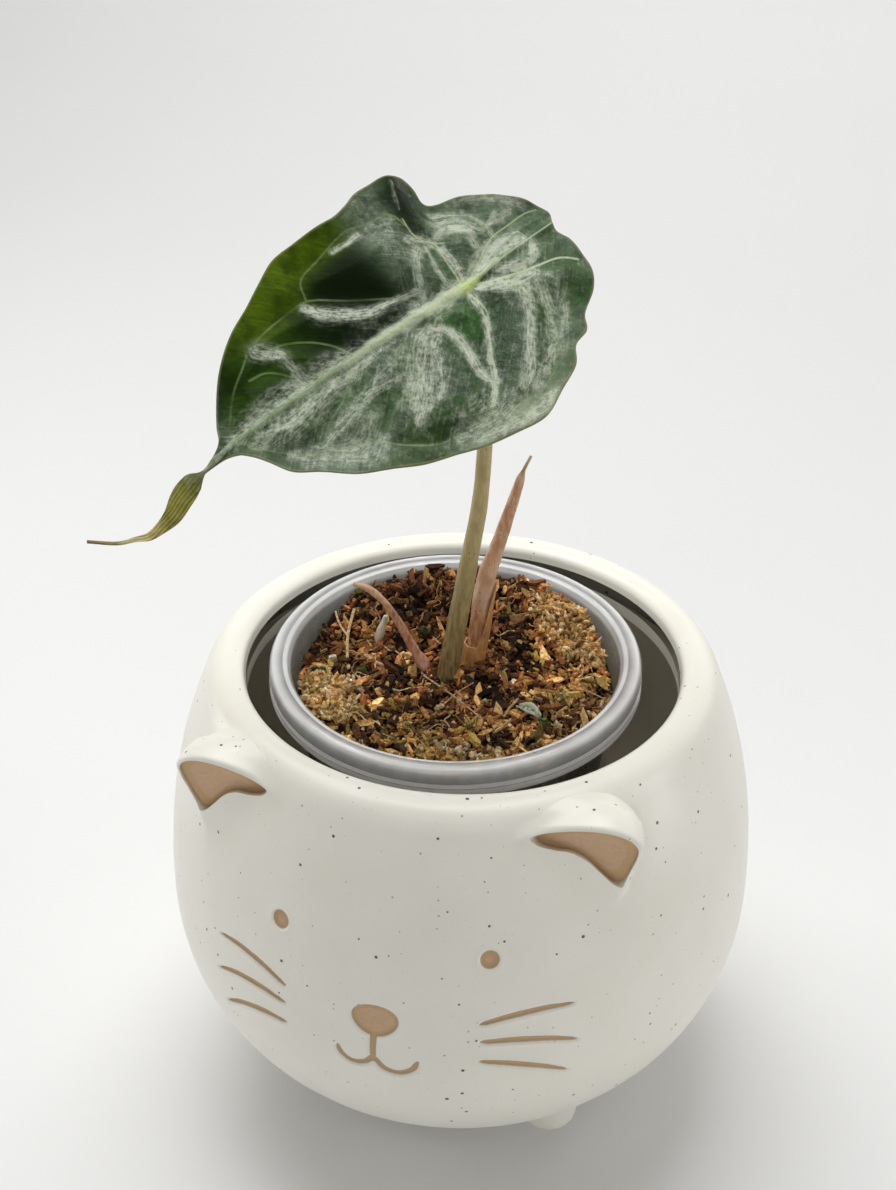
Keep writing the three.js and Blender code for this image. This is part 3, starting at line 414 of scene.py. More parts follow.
def leaf_look():
    look = Look("leaf", roughness=0.24, specular=0.7)
    flow, stroke, tint, ribtint = map(look.vector, ("flow", "stroke", "tint", "ribtint"))
    vein, rib, edge, under = map(look.value, ("vein", "rib", "edge", "under"))
    silver, gloss = look.value("silver"), look.value("gloss")
    along = (1.0, 0.16, 1.0)
    fine = look.noise(0.42, 4, vector=stroke, stretch=along)
    coarse = look.noise(1.3, 6, roughness=0.75)
    feather = look.noise(1.1, 4, vector=flow, stretch=along)
    crumple = look.noise(1.9, 6, roughness=0.7)
    streak = look.plus(look.times(fine, 0.5), look.times(coarse, 0.5))
    # Silver of the strokes with their painted sheen, the loose feathering's painted sheen and crumpled
    # painted sheen, summed
    lively = look.times(silver, look.step(streak, 0.36, 0.67, 0.35, 1.18))
    loose = look.times(look.step(feather, 0.45, 0.75), look.times(gloss, 0.16))
    crumpled = look.times(look.math("SUBTRACT", crumple, 0.42), look.step(gloss, 0.0, 1.0))
    sheen = look.step(look.plus(lively, look.plus(loose, crumpled)), 0.06, 0.92)
    mottle = look.step(look.noise(5, 5), 0.36, 0.66, 0.0, 0.62)
    dark = look.math("MAXIMUM", mottle, look.step(feather, 0.35, 0.7, 0.0, 0.4))
    color = look.mix(dark, tint, srgb(16, 28, 10))
    # Painted sheen: the summed silver and sheen lightens the colour towards pale silver-green
    color = look.mix(look.times(sheen, 0.8), color, srgb(194, 202, 178))
    line = look.times(look.step(vein, 0.42, 0.05), look.step(look.noise(8, 2), 0.3, 0.7, 0.12, 0.5))
    color = look.mix(line, color, srgb(150, 172, 112))
    ribline = look.times(look.step(rib, 1.15, 0.2), look.step(feather, 0.2, 0.7, 0.95, 0.6))
    color = look.mix(ribline, color, ribtint)
    color = look.mix(look.times(look.step(edge, 0.5, 0.15), 0.45), color, srgb(146, 142, 98))
    below = look.mix(look.step(vein, 0.9, 0.2), srgb(128, 140, 92), srgb(166, 172, 122))
    shine = look.plus(look.times(gloss, 0.35), look.times(sheen, 0.65))
    look.set(color=look.mix(under, color, below), specular=look.step(shine, 0.0, 1.0, 0.03, 0.62),
             roughness=look.step(sheen, 0.0, 1.0, 0.22, 0.4))
    grain = look.times(streak, look.step(silver, 0.1, 0.6, 0.0, 0.7))
    relief = look.plus(grain, look.times(feather, 0.6))
    look.bump(look.plus(relief, look.times(crumple, 1.2)), 0.4, 0.8)
    return look.material


# Planter: the same figures as in the CAD source, set out finely

POT_RADIUS, BELLY_Z, POT_WALL = 76, 61, 6.5
RIM = [(66.2, 115.5), (64.75, 119.2), (63, 121.9), (60.4, 123.35), (57.4, 123.5), (55.3, 122.4),
       (54.6, 120.2)]
INNER_HEIGHTS = [111.5, 100, 88, 74, 61, 48, 36, 28, 21]
FACE_TOP, FACE_LOW, FACE_AZIMUTH = 95, 46, 40


def pot_radius(z):
    """Outer radius: a superellipse above the belly and another below it."""
    z = np.asarray(z, float)
    reach = np.where(z > BELLY_Z, 104.5, 64.0)
    power = np.where(z > BELLY_Z, 2.11, 2.17)
    return POT_RADIUS * (1 - (np.abs(z - BELLY_Z) / reach) ** power) ** (1 / power)


def pot_point(azimuth, z, out=0.0):
    """Azimuth in degrees from -Y towards +X."""
    slope = pot_radius(z + 0.5) - pot_radius(z - 0.5)
    length = np.hypot(1, slope)
    radius = pot_radius(z) + out / length
    turn = np.radians(azimuth)
    z = z - out * slope / length
    return np.stack(np.broadcast_arrays(radius * np.sin(turn), -radius * np.cos(turn), z), -1)


def outer_profile():
    low = [(0.01, 8.5), (20, 8.5), (40, 8.5), (42, 8.5), (45.5, 9), (48.8, 10.2)]
    heights = np.r_[12.4, 15, 18, 22, 26:46:3.3, np.arange(FACE_LOW, FACE_TOP, 0.45),
                    np.arange(FACE_TOP + 1, 115, 1.5)]
    wall = np.stack([pot_radius(heights), heights], 1)
    return np.vstack([low, wall, Curve(RIM).points_at(34)])


def inner_profile():
    neck = [(54.6, 117), (54.62, 113.7), (54.9, 113.5)]
    wall = [(float(pot_radius(z)) - POT_WALL, z) for z in INNER_HEIGHTS]
    return np.array([*neck, *wall, (48.6, 15.6), (42, 14.3), (0.01, 14.3)])


# Marks of the face, in degrees of azimuth and mm of height; the whiskers are for both sides
NO_MARK = -6.0
EYE_AZIMUTH, EYE_Z, EYE_WIDE, EYE_HIGH = 20.2, 88.6, 4.7, 5.0
NOSE_AZIMUTH, NOSE_Z, NOSE_HALF_WIDE, NOSE_HALF_HIGH = -0.4, 68.6, 5.8, 4.8
WHISKERS = [
    [[18.6, 70.3], [24, 72.2], [30, 73.2], [35.9, 72.9]],
    [[18.7, 64.8], [24.5, 64.8], [31, 63.6], [36.9, 61.1]],
    [[18.6, 58.5], [24, 57.2], [30, 54.6], [35.3, 51.1]],
]
LEFT_WHISKER_RISE = [0, 0.8, 0.8, 0]
MOUTH = [[-7.7, 57.9], [-7, 55.6], [-4.9, 53.9], [-2.4, 54.6], [-0.8, 56.6], [1.2, 53.8], [3.9, 52.9],
         [6.4, 54.6], [7.4, 57.2]]
MOUTH_STEM = [[-0.6, 65], [-0.8, 60], [-0.8, 56]]
# Half widths along the drawn lines: shares of the way, and mm
WHISKER_WIDTHS = [0, 0.06, 0.4, 0.75, 0.93, 1], [0.3, 0.68, 0.9, 0.75, 0.5, 0.1]
MOUTH_WIDTHS = [0, 0.06, 0.5, 0.94, 1], [0.4, 0.72, 0.8, 0.8, 0.5]
STEM_WIDTHS = [0, 1], [0.85, 0.75]
# The marks are pressed in, with a low ridge of glaze round them
PRESSED, RIDGE = 0.6, 0.2


def mark_distance(azimuth, z):
    """Signed distance in mm from the marks of the face, positive inside them."""
    x = np.radians(azimuth) * POT_RADIUS
    marks = [np.full(x.shape, NO_MARK)]

    def stroke(path, stops, widths):
        points = Curve(path).points_at(40)
        line = np.stack([np.radians(points[:, 0]) * POT_RADIUS, points[:, 1]], 1)
        distance, share, _, _ = line_distance(x, z, line, True)
        marks.append(np.interp(share, stops, widths) - distance)

    for side in (-1, 1):
        off = x - side * np.radians(EYE_AZIMUTH) * POT_RADIUS
        marks.append((1 - np.hypot(off * 2 / EYE_WIDE, (z - EYE_Z) * 2 / EYE_HIGH)) * 2.4)
        for path in WHISKERS:
            rises = LEFT_WHISKER_RISE if side < 0 else [0] * len(path)
            path = [[side * a, h + rise] for (a, h), rise in zip(path, rises)]
            stroke(path, *WHISKER_WIDTHS)
    angle = round_angles(60)
    across = np.cos(angle) * (1 + 0.16 * np.sin(angle)) * NOSE_HALF_WIDE
    nose_x = np.radians(NOSE_AZIMUTH) * POT_RADIUS + across
    marks.append(outline_distance(x, z, np.stack([nose_x, NOSE_Z + NOSE_HALF_HIGH * np.sin(angle)], 1)))
    stroke(MOUTH, *MOUTH_WIDTHS)
    stroke(MOUTH_STEM, *STEM_WIDTHS)
    return np.max(marks, 0)


# Ears: each is a flap with a hollow bare face, set out from a point EAR_Q inside the shoulder

EAR_ROOT = np.array([32.4, -56.5, 116.6])
EAR_ALONG = unit([0.77, 0.254, -0.583])
EAR_FRONT = unit([0.125, -0.96, -0.253])
EAR_RISE = unit([0.624, -0.122, 0.771])
EAR_FACE = [[0.6, -0.6], [0.7, 1.8], [2.4, 5.2], [5.5, 8.9], [8.9, 11.8], [12.4, 13.7], [16, 14.4],
            [18.9, 13.4], [20.9, 10.8], [22.6, 7], [24.3, 2.4], [24.4, -0.3], [22.2, -0.9], [17.8, 0.2],
            [13, 1.6], [9, 1.4], [6.2, -0.2], [3, -1.3]]
EAR_FLAP = [[-1.2, -3], [-0.5, 1.8], [1.6, 6], [4.8, 9.8], [8.4, 12.8], [12.2, 14.8], [16.3, 15.4],
            [19.7, 14.2], [21.9, 11.2], [23.5, 7.4], [25.1, 2.6], [25.2, -2.5], [12, -5]]
EAR_MIDDLE = np.array([13, 6.5])
EAR_Q = np.array([13, -6, 7.0])
# How the flap shrinks and slides with depth
EAR_DEPTHS = [-0.5, 0.4, 4, 7.5, 11, 14]
EAR_SCALES = [0.99, 1, 1, 0.98, 0.93, 0.84]
EAR_SLIDES = [0, 0, 0.2, 0.9, 3.5, 8]
# Rings of the hollow face: share of the way from its middle to its edge, depth and value of clay
EAR_DISH = [(0.03, 0.75, 2), (0.2, 0.75, 2), (0.4, 0.75, 2), (0.6, 0.72, 2), (0.74, 0.68, 1.1),
            (0.88, 0.66, 1.1)]
# Rings between the face's edge and the flap's, and from there down onto the pot, by share of the way
EAR_EDGE_SHARES = [0.02, 0.12, 0.25, 0.45, 0.65, 0.85, 1]
EAR_ROOT_SHARES = [0.02, 0.05, 0.09, 0.14, 0.2, 0.27, 0.34, 0.41, 0.48, 0.55, 0.62, 0.69, 0.76, 0.83, 0.9,
                   0.96, 1]
# Depth of the flap's front, how softly the ear runs into the pot, and the radius its foot stays outside
EAR_FRONT_DEPTH, EAR_BLEND, EAR_CLEAR = -0.35, 4.8, 61.5
EAR_COUNT = 176


def ear_point(u, v, w):
    """u along the ear, v up its face and w back from its face."""
    u, v, w = (np.asarray(x, float)[..., None] for x in (u, v, w))
    return EAR_ROOT + u * EAR_ALONG + v * EAR_RISE - w * EAR_FRONT


def ear_places(points):
    """The u, v and w of points."""
    rel = points - EAR_ROOT
    return rel @ EAR_ALONG, rel @ EAR_RISE, -rel @ EAR_FRONT


class Table:
    """A signed distance kept on a fine grid, negative inside."""

    def __init__(self, outline, low, high, step):
        self.low, self.step = np.array(low, float), step
        x = np.arange(low[0], high[0], step)
        y = np.arange(low[1], high[1], step)
        self.values = -outline_distance(*np.meshgrid(x, y, indexing="ij"), outline)

    def read(self, x, y):
        i = (x - self.low[0]) / self.step
        j = (y - self.low[1]) / self.step
        i = np.clip(i, 0, self.values.shape[0] - 1.001)
        j = np.clip(j, 0, self.values.shape[1] - 1.001)
        a, b = i.astype(int), j.astype(int)
        u, v = i - a, j - b
        t = self.values
        low = t[a, b] * (1 - u) + t[a + 1, b] * u
        return low * (1 - v) + (t[a, b + 1] * (1 - u) + t[a + 1, b + 1] * u) * v


def flap_table():
    outline = Curve(EAR_FLAP, True).around(120)
    return Table(outline, (-18, -22), (44, 34), 0.2)


def ear_field(flap):
    """Signed distance from the pot and its right ear together."""
    heights = np.linspace(40, 115, 60)
    wall = np.stack([pot_radius(heights), heights], 1)
    rim = Curve(RIM[:5]).points_at(30)
    body = Table(np.vstack([(0, 40), wall, rim, (0, 123.5)]), (30, 60), (100, 150), 0.25)

    def field(points):
        u, v, w = ear_places(points)
        scale = np.interp(w, EAR_DEPTHS, EAR_SCALES)
        slide = np.interp(w, EAR_DEPTHS, EAR_SLIDES) + np.maximum(w - 14, 0) * 1.5
        x = EAR_MIDDLE[0] + (u - EAR_MIDDLE[0]) / scale
        y = EAR_MIDDLE[1] + (v + slide - EAR_MIDDLE[1]) / scale
        ear = soft_max(flap.read(x, y) * scale, EAR_FRONT_DEPTH - w, 1.4)
        return soft_min(body.read(np.hypot(points[..., 0], points[..., 1]), points[..., 2]), ear, EAR_BLEND)

    return field


def march(field, start, ways):
    """Where rays from start last leave the solid."""
    step = 0.4
    found = np.full(len(ways), 2.0)
    done = np.zeros(len(ways), bool)
    for t in np.arange(42, 1.5, -step):
        inside = ~done & (field(start + t * ways) < 0)
        found[inside] = t
        done |= inside
    low, high = found.copy(), found + step
    for _ in range(12):
        middle = (low + high) / 2
        inside = field(start + middle[:, None] * ways) < 0
        low = np.where(inside, middle, low)
        high = np.where(inside, high, middle)
    return start + low[:, None] * ways


def ear_rings(flap_reach):
    """The right ear as rings of EAR_COUNT points from the middle of its face out onto the pot."""
    field = ear_field(flap_reach)
    start = ear_point(*EAR_Q)
    face = Curve(EAR_FACE, True).around(EAR_COUNT)
    flap = Curve(EAR_FLAP, True).around(400)
    turn, flap_turn = (np.arctan2(*(line - EAR_MIDDLE).T[::-1]) for line in (face, flap))
    order = np.argsort(flap_turn)
    far = np.linalg.norm(flap - EAR_MIDDLE, axis=1)
    reach = np.interp(turn, flap_turn[order], far[order], period=2 * math.pi)
    edge = EAR_MIDDLE + reach[:, None] * np.stack([np.cos(turn), np.sin(turn)], 1)

    def flat(outline, depth):
        return ear_point(outline[:, 0], outline[:, 1], np.full(len(outline), depth))

    inward = unit(EAR_MIDDLE - face)
    rings = [flat(EAR_MIDDLE + share * (face - EAR_MIDDLE), depth) for share, depth, _ in EAR_DISH]
    rings += [flat(face + 0.6 * inward, 0.66), flat(face + 0.15 * inward, 0.6)]
    clay = [value for _, _, value in EAR_DISH] + [0.9, 0.15]
    ways = [unit(flat(face * (1 - share) + edge * share, EAR_FRONT_DEPTH) - start)
            for share in EAR_EDGE_SHARES]
    axis = unit(np.array([start[0], start[1], 0]) / np.hypot(start[0], start[1]) + [0, 0, 0.42])
    last = ways[-1]
    lean = np.arccos(np.clip(last @ axis, -1, 1))
    sideways = unit(last - (last @ axis)[:, None] * axis)

    def way_at(angle):
        return np.cos(angle)[:, None] * axis + np.sin(angle)[:, None] * sideways

    # The last ring stays clear of the pot's mouth
    end = np.maximum(np.radians(60), lean + np.radians(13))
    for _ in range(14):
        hit = march(field, start, way_at(end))
        low = np.hypot(hit[:, 0], hit[:, 1]) < EAR_CLEAR
        end = np.where(low & (end > lean + np.radians(3)), end - np.radians(2), end)
    for _ in range(6):
        end = (np.roll(end, 1) + end + np.roll(end, -1)) / 3
    ways += [way_at(lean + (end - lean) * share) for share in EAR_ROOT_SHARES]
    rings += [march(field, start, way) + 0.05 * way for way in ways[:-1]]
    rings.append(march(field, start, ways[-1]) - 0.6 * ways[-1])
    clay += [-0.12, -0.4] + [-3] * (len(ways) - 2)
    return np.array(rings), np.array(clay), start, axis


FOOT = [(0.01, 0), (4.4, 0), (5.4, 0.35), (6.3, 1.1), (7.1, 2.4), (7.5, 4.2), (7.6, 6.5), (7.7, 8.2),
        (8.1, 9.6), (8.9, 10.9), (8.9, 12.8), (0.01, 12.8)]
FOOT_RING, FOOT_AZIMUTHS, FOOT_SIDES = 44.5, (48, 132, 228, 312), 48
# Heights inside the mouth between which the glaze gives way to bare clay
GLAZED, BARE = 116, 113.6


def planter():
    piece = Piece()
    dense = np.arange(-FACE_AZIMUTH, FACE_AZIMUTH + 0.01, 0.42)
    azimuth = np.r_[dense, np.linspace(dense[-1], 360 + dense[0], 96)[1:-1]]
    turn = np.radians(azimuth)
    flap = flap_table()
    rings, clay, start, axis = ear_rings(flap)
    for profile, inner in ((outer_profile(), 0.0), (inner_profile(), 1.0)):
        r, z = profile[:, :1], profile[:, 1:]
        grid = np.stack(np.broadcast_arrays(r * np.sin(turn), -r * np.cos(turn), z + 0 * turn), -1)
        marks = np.full(grid.shape[:2], NO_MARK)
        if not inner:
            rows = (profile[:, 1] >= FACE_LOW) & (profile[:, 1] < FACE_TOP)
            columns = np.abs(azimuth) <= FACE_AZIMUTH
            where = np.ix_(rows, columns)
            az, height = np.meshgrid(azimuth[columns], profile[rows, 1])
            d = marks[where] = mark_distance(az, height)
            out = RIDGE * bell(d + 0.7, 0.45) - PRESSED * smooth(d, -0.35, 0.4)
            grid[where] = pot_point(az, height, out)
            for side in (-1, 1):
                sink_under_ear(grid, [side, 1, 1], start, axis, flap)
        bare = np.broadcast_to(smooth(z, GLAZED, BARE) * inner, grid.shape[:2])
        piece.add(grid, grid_faces(len(profile), len(azimuth), True), clay=marks.ravel(), inner=bare.ravel())
    faces, cap = grid_faces(len(rings), EAR_COUNT, True), np.arange(EAR_COUNT)[None, ::-1]
    for side in (-1, 1):
        way = 1 if side < 0 else -1
        piece.add(rings * [side, 1, 1], [faces[:, ::way], cap[:, ::way]],
                  clay=np.repeat(clay, EAR_COUNT), inner=0.0)
    for angle in FOOT_AZIMUTHS:
        a = math.radians(angle)
        middle = (FOOT_RING * math.sin(a), -FOOT_RING * math.cos(a))
        piece.add(*lathe(FOOT, FOOT_SIDES, middle), clay=NO_MARK, inner=0.0)
    piece.build("planter_glazed", glaze_look(), "planter", sharp=38)


def sink_under_ear(grid, mirror, start, axis, flap):
    """Draws the pot's wall in where an ear covers it: in a cone round its axis, and behind its flap."""
    away, z = unit(grid - start * mirror), grid[..., 2]
    near = (away @ (axis * mirror) > math.cos(math.radians(44))) & (z < 118) & (z > 80)
    grid[near] -= 2.2 * away[near]
    u, v, w = ear_places(grid * mirror)
    under = (np.abs(w + 1.5) < 4) & (u > -3) & (u < 23) & (v > -6) & (v < 9)
    reach = np.where((v[under] < 0.5) & (u[under] < 21), 0.3, -1.0)
    under[under] = flap.read(u[under], v[under]) < reach
    grid[under] -= 3 * unit(grid[under] * [1, 1, 0])


# Cup

CUP_X, CUP_Y, CUP_TOP, CUP_RIM = -2, 0, 123.6, 47
CUP_LEAN = math.radians(2)
CUP_FLOOR, CUP_BASE, CUP_WALL, CUP_MOUTH = 15.616, 31, 0.9, 41.4
CUP_SIDES = 160
# The rim's skirt: in from the rim, down from its top, and how thick the plastic looks, which also whitens it
# into painted highlight lines on the ridges
CUP_SKIRT = [(2, 2.2, 0.5), (1.1, 3.2, 0.4), (1.1, 7.4, 0.5), (0.3, 7.4, 0.9), (0, 7.0, 1.0),
             (0, 6.6, 1.4), (0.75, 6.1, 1.4), (0.05, 5.5, 0.4), (0, 5.1, 1.4), (0.7, 4.6, 1.4),
             (0.12, 3.9, 0.4), (0.1, 2.4, 0.35), (0.2, 1.5, 0.4), (0.55, 0.8, 0.8), (1.1, 0.3, 1.4),
             (1.9, 0.05, 1.1), (3.2, 0, 0.5)]
# From the rim's top into the cup: out from the mouth, down and how thick, which also paints highlight lines
CUP_LIP = [(2.1, 0.06, 0.6), (1.9, 0.36, 1.3), (1.1, 0.44, 1.2), (0.7, 0.7, 0.55), (0.15, 1.4, 0.8),
           (0, 2.4, 0.35)]


def leaned(points):
    """The cup leans towards the face, turned about the middle of its rim."""
    points = np.asarray(points, float)
    v, w = points[..., 1] - CUP_Y, points[..., 2] - CUP_TOP
    c, s = math.cos(CUP_LEAN), math.sin(CUP_LEAN)
    return np.stack([points[..., 0], CUP_Y + v * c - w * s, CUP_TOP + v * s + w * c], -1)


def cup_inner_radius(z):
    return CUP_BASE - CUP_WALL + (z - CUP_FLOOR) / (CUP_TOP - CUP_FLOOR) * (CUP_MOUTH - CUP_BASE + CUP_WALL)


def cup():
    top = CUP_TOP
    outside = [(0.01, CUP_FLOOR), (29.8, CUP_FLOOR), (31, CUP_FLOOR + 1.5)]
    outside += [(cup_inner_radius(z) + CUP_WALL, z) for z in (40, 70, 100, top - 9, top - 3)]
    skirt = [(CUP_RIM - inward, top - below) for inward, below, _ in CUP_SKIRT]
    lip = [(CUP_MOUTH + out, top - below) for out, below, _ in CUP_LIP]
    inside = [(cup_inner_radius(z), z) for z in (top - 7, top - 20, 60, CUP_FLOOR + 2.4)]
    inside += [(28.8, CUP_FLOOR + CUP_WALL), (0.01, CUP_FLOOR + CUP_WALL)]
    thick = [0.13] * len(outside) + [t for _, _, t in CUP_SKIRT + CUP_LIP] + [0.15] * len(inside)
    piece = Piece()
    vertices, faces = lathe(outside + skirt + lip + inside, CUP_SIDES, (CUP_X, CUP_Y))
    piece.add(leaned(vertices), faces, thick=np.repeat(thick, CUP_SIDES))
    piece.build("cup_clear", cup_look(), "cup", sharp=40)


# Growing mix

MIX_Z, MIX_CLIMB = 114, 9
MIX_Y = CUP_Y + (CUP_TOP - MIX_Z) * math.sin(CUP_LEAN)
# How far from the middle chips start, fibres and other bits are held, and corners of bits reach
MIX_REACH, FIBRE_REACH, HELD_REACH, CORNER_REACH = 39.5, 38.5, 39.2, 40.1
MIX_SIDES = 120
SCRAP_X, SCRAP_Y, SCRAP_LENGTH, SCRAP_TURN = 19.2, -8.6, 7.2, -28
DARK = [srgb(52, 36, 24), srgb(38, 27, 20), srgb(76, 48, 30)]
BROWN = [srgb(120, 76, 46), srgb(142, 92, 54), srgb(94, 58, 38), srgb(164, 114, 70)]
TAN = [srgb(190, 148, 92), srgb(168, 128, 74), srgb(206, 168, 112), srgb(150, 126, 66)]
CREAM = [srgb(214, 188, 142), srgb(198, 172, 128), srgb(228, 214, 184)]
COIR = [srgb(150, 104, 62), srgb(112, 74, 44), srgb(190, 146, 92)]
STRAW = [srgb(206, 184, 146), srgb(182, 156, 112)]
MOSSY = [srgb(58, 74, 40), srgb(94, 104, 50), srgb(44, 58, 32)]
# Flat chips: count, lengths, widths, depths and lifts in mm, tilt and share of tan
CHIPS = [(2600, (0.8, 2.1), (0.5, 1.3), (0.4, 0.9), (-0.5, 0.7), 0.7, 0.5),
         (1700, (2.0, 4.2), (0.6, 1.5), (0.4, 0.9), (-0.2, 1.5), 0.5, 0.6),
         (330, (3.4, 7.0), (1.1, 2.4), (0.6, 1.4), (0.2, 1.9), 0.5, 0.7)]
# Patches of crumbs: middle, reach, count, colours and size
CRUMBS = [((14, -30), (17, 5), 46, CREAM + TAN[:2], 1.35), ((31, -6), (9, 12), 60, CREAM + BROWN, 1.0),
          ((-30, -12), (9, 10), 40, CREAM, 1.2), ((4, -9), (12, 7), 12, CREAM, 1.0)]
CRUMBS += [(spot, (1.4, 1.4), 4, MOSSY, 1.6)
           for spot in ((-36.5, -7), (-25.6, -1.9), (-37, 25), (-15, 15), (12, 30), (24, -12))]
# Single roots and straws on the mix: places a little above its surface, and their radii
TWIGS = [([(-10, -0.8, 1.8), (-1, -7, 2.1), (9, -14.3, 1.6)], 0.2),
         ([(3, -1, 2), (0, -6, 1.8), (-2, -11, 1.4)], 0.17),
         ([(-31, 1, 1.4), (-33, 8, 2.4), (-33.5, 15, 3.4)], 0.42),
         ([(-32.6, 7, 2.2), (-36, 10, 2.6), (-38, 13, 3)], 0.3),
         ([(-27, 3, 1.6), (-22, 1, 2), (-17, 0.6, 1.2)], 0.5),
         ([(13.6, -12, 1.2), (14.6, -9, 2.6), (16, -6.5, 3.6)], 0.3),
         ([(36, 2, 1.6), (31, 3.5, 2), (27, 4, 1.8)], 0.15),
         ([(13, -19.5, 1.2), (15, -17, 2.4), (16.5, -15.5, 3.4)], 0.45)]


def pick(random, palette, count):
    """Colours drawn from a palette."""
    return np.array(palette)[random.integers(0, len(palette), count)]


def draw_sizes(random, spans, count, power=1):
    return [low + (high - low) * random.random(count) ** power for low, high in spans]


def pick_tints(random, x, y, tan, cream=0.02):
    """Colours of scattered bits: tan in front and at the right, dark in patches, brown elsewhere; painted
    shade darkens the hollows between lumps and the back left, and painted light brightens the lumps.
    """
    u, v = x - CUP_X, y - CUP_Y
    patch = soft_noise(x * 0.16 + 30, y * 0.16 + 30, 17)
    light = tan * (0.3 + 1.2 * smooth(-v, 8, 28) + 0.7 * smooth(u, 12, 30)) * (0.5 + patch)
    dark = 0.62 * smooth(soft_noise(x * 0.2 + 9, y * 0.2 + 9, 23), 0.42, 0.75)
    roll = random.random(len(x))
    out = pick(random, BROWN, len(x))
    pale = random.random(len(x)) < cream
    for palette, chosen in ((TAN, roll < light), (DARK, roll > 1 - dark), (CREAM, pale)):
        out = np.where(chosen[:, None], pick(random, palette, len(x)), out)
    # Painted shade in the hollows and painted light on the lumps, then painted shade towards the back left
    hollow = smooth(soft_noise(x * 0.34 + 5, y * 0.34 + 15, 41), 0.2, 0.62)
    shaded = 1 - 0.5 * smooth(v, 4, 22) * smooth(16 - u, 0, 20)
    return out * ((0.45 + 1.4 * hollow) * shaded)[:, None] * (0.75 + 0.6 * random.random((len(x), 1)))


def mix_height(x, y):
    u, v = x - CUP_X, y - CUP_Y
    back = smooth(v * 0.97 - u * 0.25, 2, 40)
    waves = 0.5 * np.sin(0.45 * u + 1.3) * np.cos(0.38 * v)
    return MIX_Z + MIX_CLIMB * back + waves + 0.35 * np.sin(0.9 * v + 0.5 * u)


def swell(x, y):
    """Small lumps of the mix."""
    return 1.6 * (soft_noise(x * 0.5 + 90, y * 0.5 + 90, 3) - 0.5)


def hold_inside(points, reach=HELD_REACH):
    """Points, drawn in to the reach round the middle of the mix."""
    flat = points[:, :2] - [CUP_X, MIX_Y]
    away = np.hypot(flat[:, 0], flat[:, 1])
    flat = np.where(away[:, None] > reach, flat * (reach / np.maximum(away, 1e-6))[:, None], flat)
    return np.c_[flat + [CUP_X, MIX_Y], points[:, 2]]


def turns(random, count, tilt):
    """Random rotations: any heading, tilted by up to about tilt radians."""
    yaw, pitch, roll = random.random(count) * 2 * math.pi, *(tilt * random.normal(size=(2, count)))
    c, s = np.cos, np.sin
    out = np.zeros((count, 3, 3))
    out[:, 0] = np.stack([c(yaw) * c(pitch), c(yaw) * s(pitch) * s(roll) - s(yaw) * c(roll),
                          c(yaw) * s(pitch) * c(roll) + s(yaw) * s(roll)], 1)
    out[:, 1] = np.stack([s(yaw) * c(pitch), s(yaw) * s(pitch) * s(roll) + c(yaw) * c(roll),
                          s(yaw) * s(pitch) * c(roll) - c(yaw) * s(roll)], 1)
    out[:, 2] = np.stack([-s(pitch), c(pitch) * s(roll), c(pitch) * c(roll)], 1)
    return out


def flakes(piece, random, places, lengths, widths, depths, tilt, tints):
    """Small irregular six-sided flakes."""
    count = len(places)
    angle = np.arange(6) * math.pi / 3 + 0.35 * (random.random((count, 6)) - 0.5)
    wide = 0.7 + 0.5 * random.random((count, 6))
    flat = np.stack([np.cos(angle) * wide * lengths[:, None] / 2,
                     np.sin(angle) * wide * widths[:, None] / 2], -1)
    jitter = 1 + 0.5 * (random.random((count, 2, 6)) - 0.5)
    z = np.array([-0.5, 0.5])[None, :, None] * depths[:, None, None] * jitter
    uneven = 1 + 0.15 * (random.random((count, 2, 6, 1)) - 0.5)
    body = np.concatenate([np.repeat(flat[:, None], 2, 1) * uneven, z[..., None]], -1).reshape(count, 12, 3)
    points = np.einsum("nij,nkj->nki", turns(random, count, tilt), body) + places[:, None]
    base = np.arange(count)[:, None, None] * 12
    j = np.arange(6)
    k = (j + 1) % 6
    sides = (base + np.stack([j, k, k + 6, j + 6], 1)).reshape(-1, 4)
    caps = (base + np.array([j + 6, 5 - j])).reshape(-1, 6)
    piece.add(hold_inside(points.reshape(-1, 3), CORNER_REACH), [sides, caps], tint=np.repeat(tints, 12, 0))


def disk(random, count, reach):
    """Random places on the mix, within the reach of its middle."""
    radius, angle = np.sqrt(random.random(count)) * reach, 2 * math.pi * random.random(count)
    return CUP_X + radius * np.cos(angle), MIX_Y + radius * np.sin(angle)


def crumbs(piece, random, middle, reach, count, tints, size):
    """A patch of rough bits round a place."""
    x, y = (m + r * random.normal(size=count) * 0.5 for m, r in zip(middle, reach))
    x, y, _ = hold_inside(np.stack([x, y, 0 * x], 1)).T
    places = np.stack([x, y, mix_height(x, y) + 0.7 + 1.2 * random.random(count)], 1)
    sizes = [size * span for span in draw_sizes(random, ((1, 2.8), (0.7, 1.7), (0.6, 1.4)), count, 1.5)]
    picked = pick(random, tints, count) * (0.72 + 0.4 * random.random((count, 1)))
    flakes(piece, random, places, *sizes, 0.8, picked)


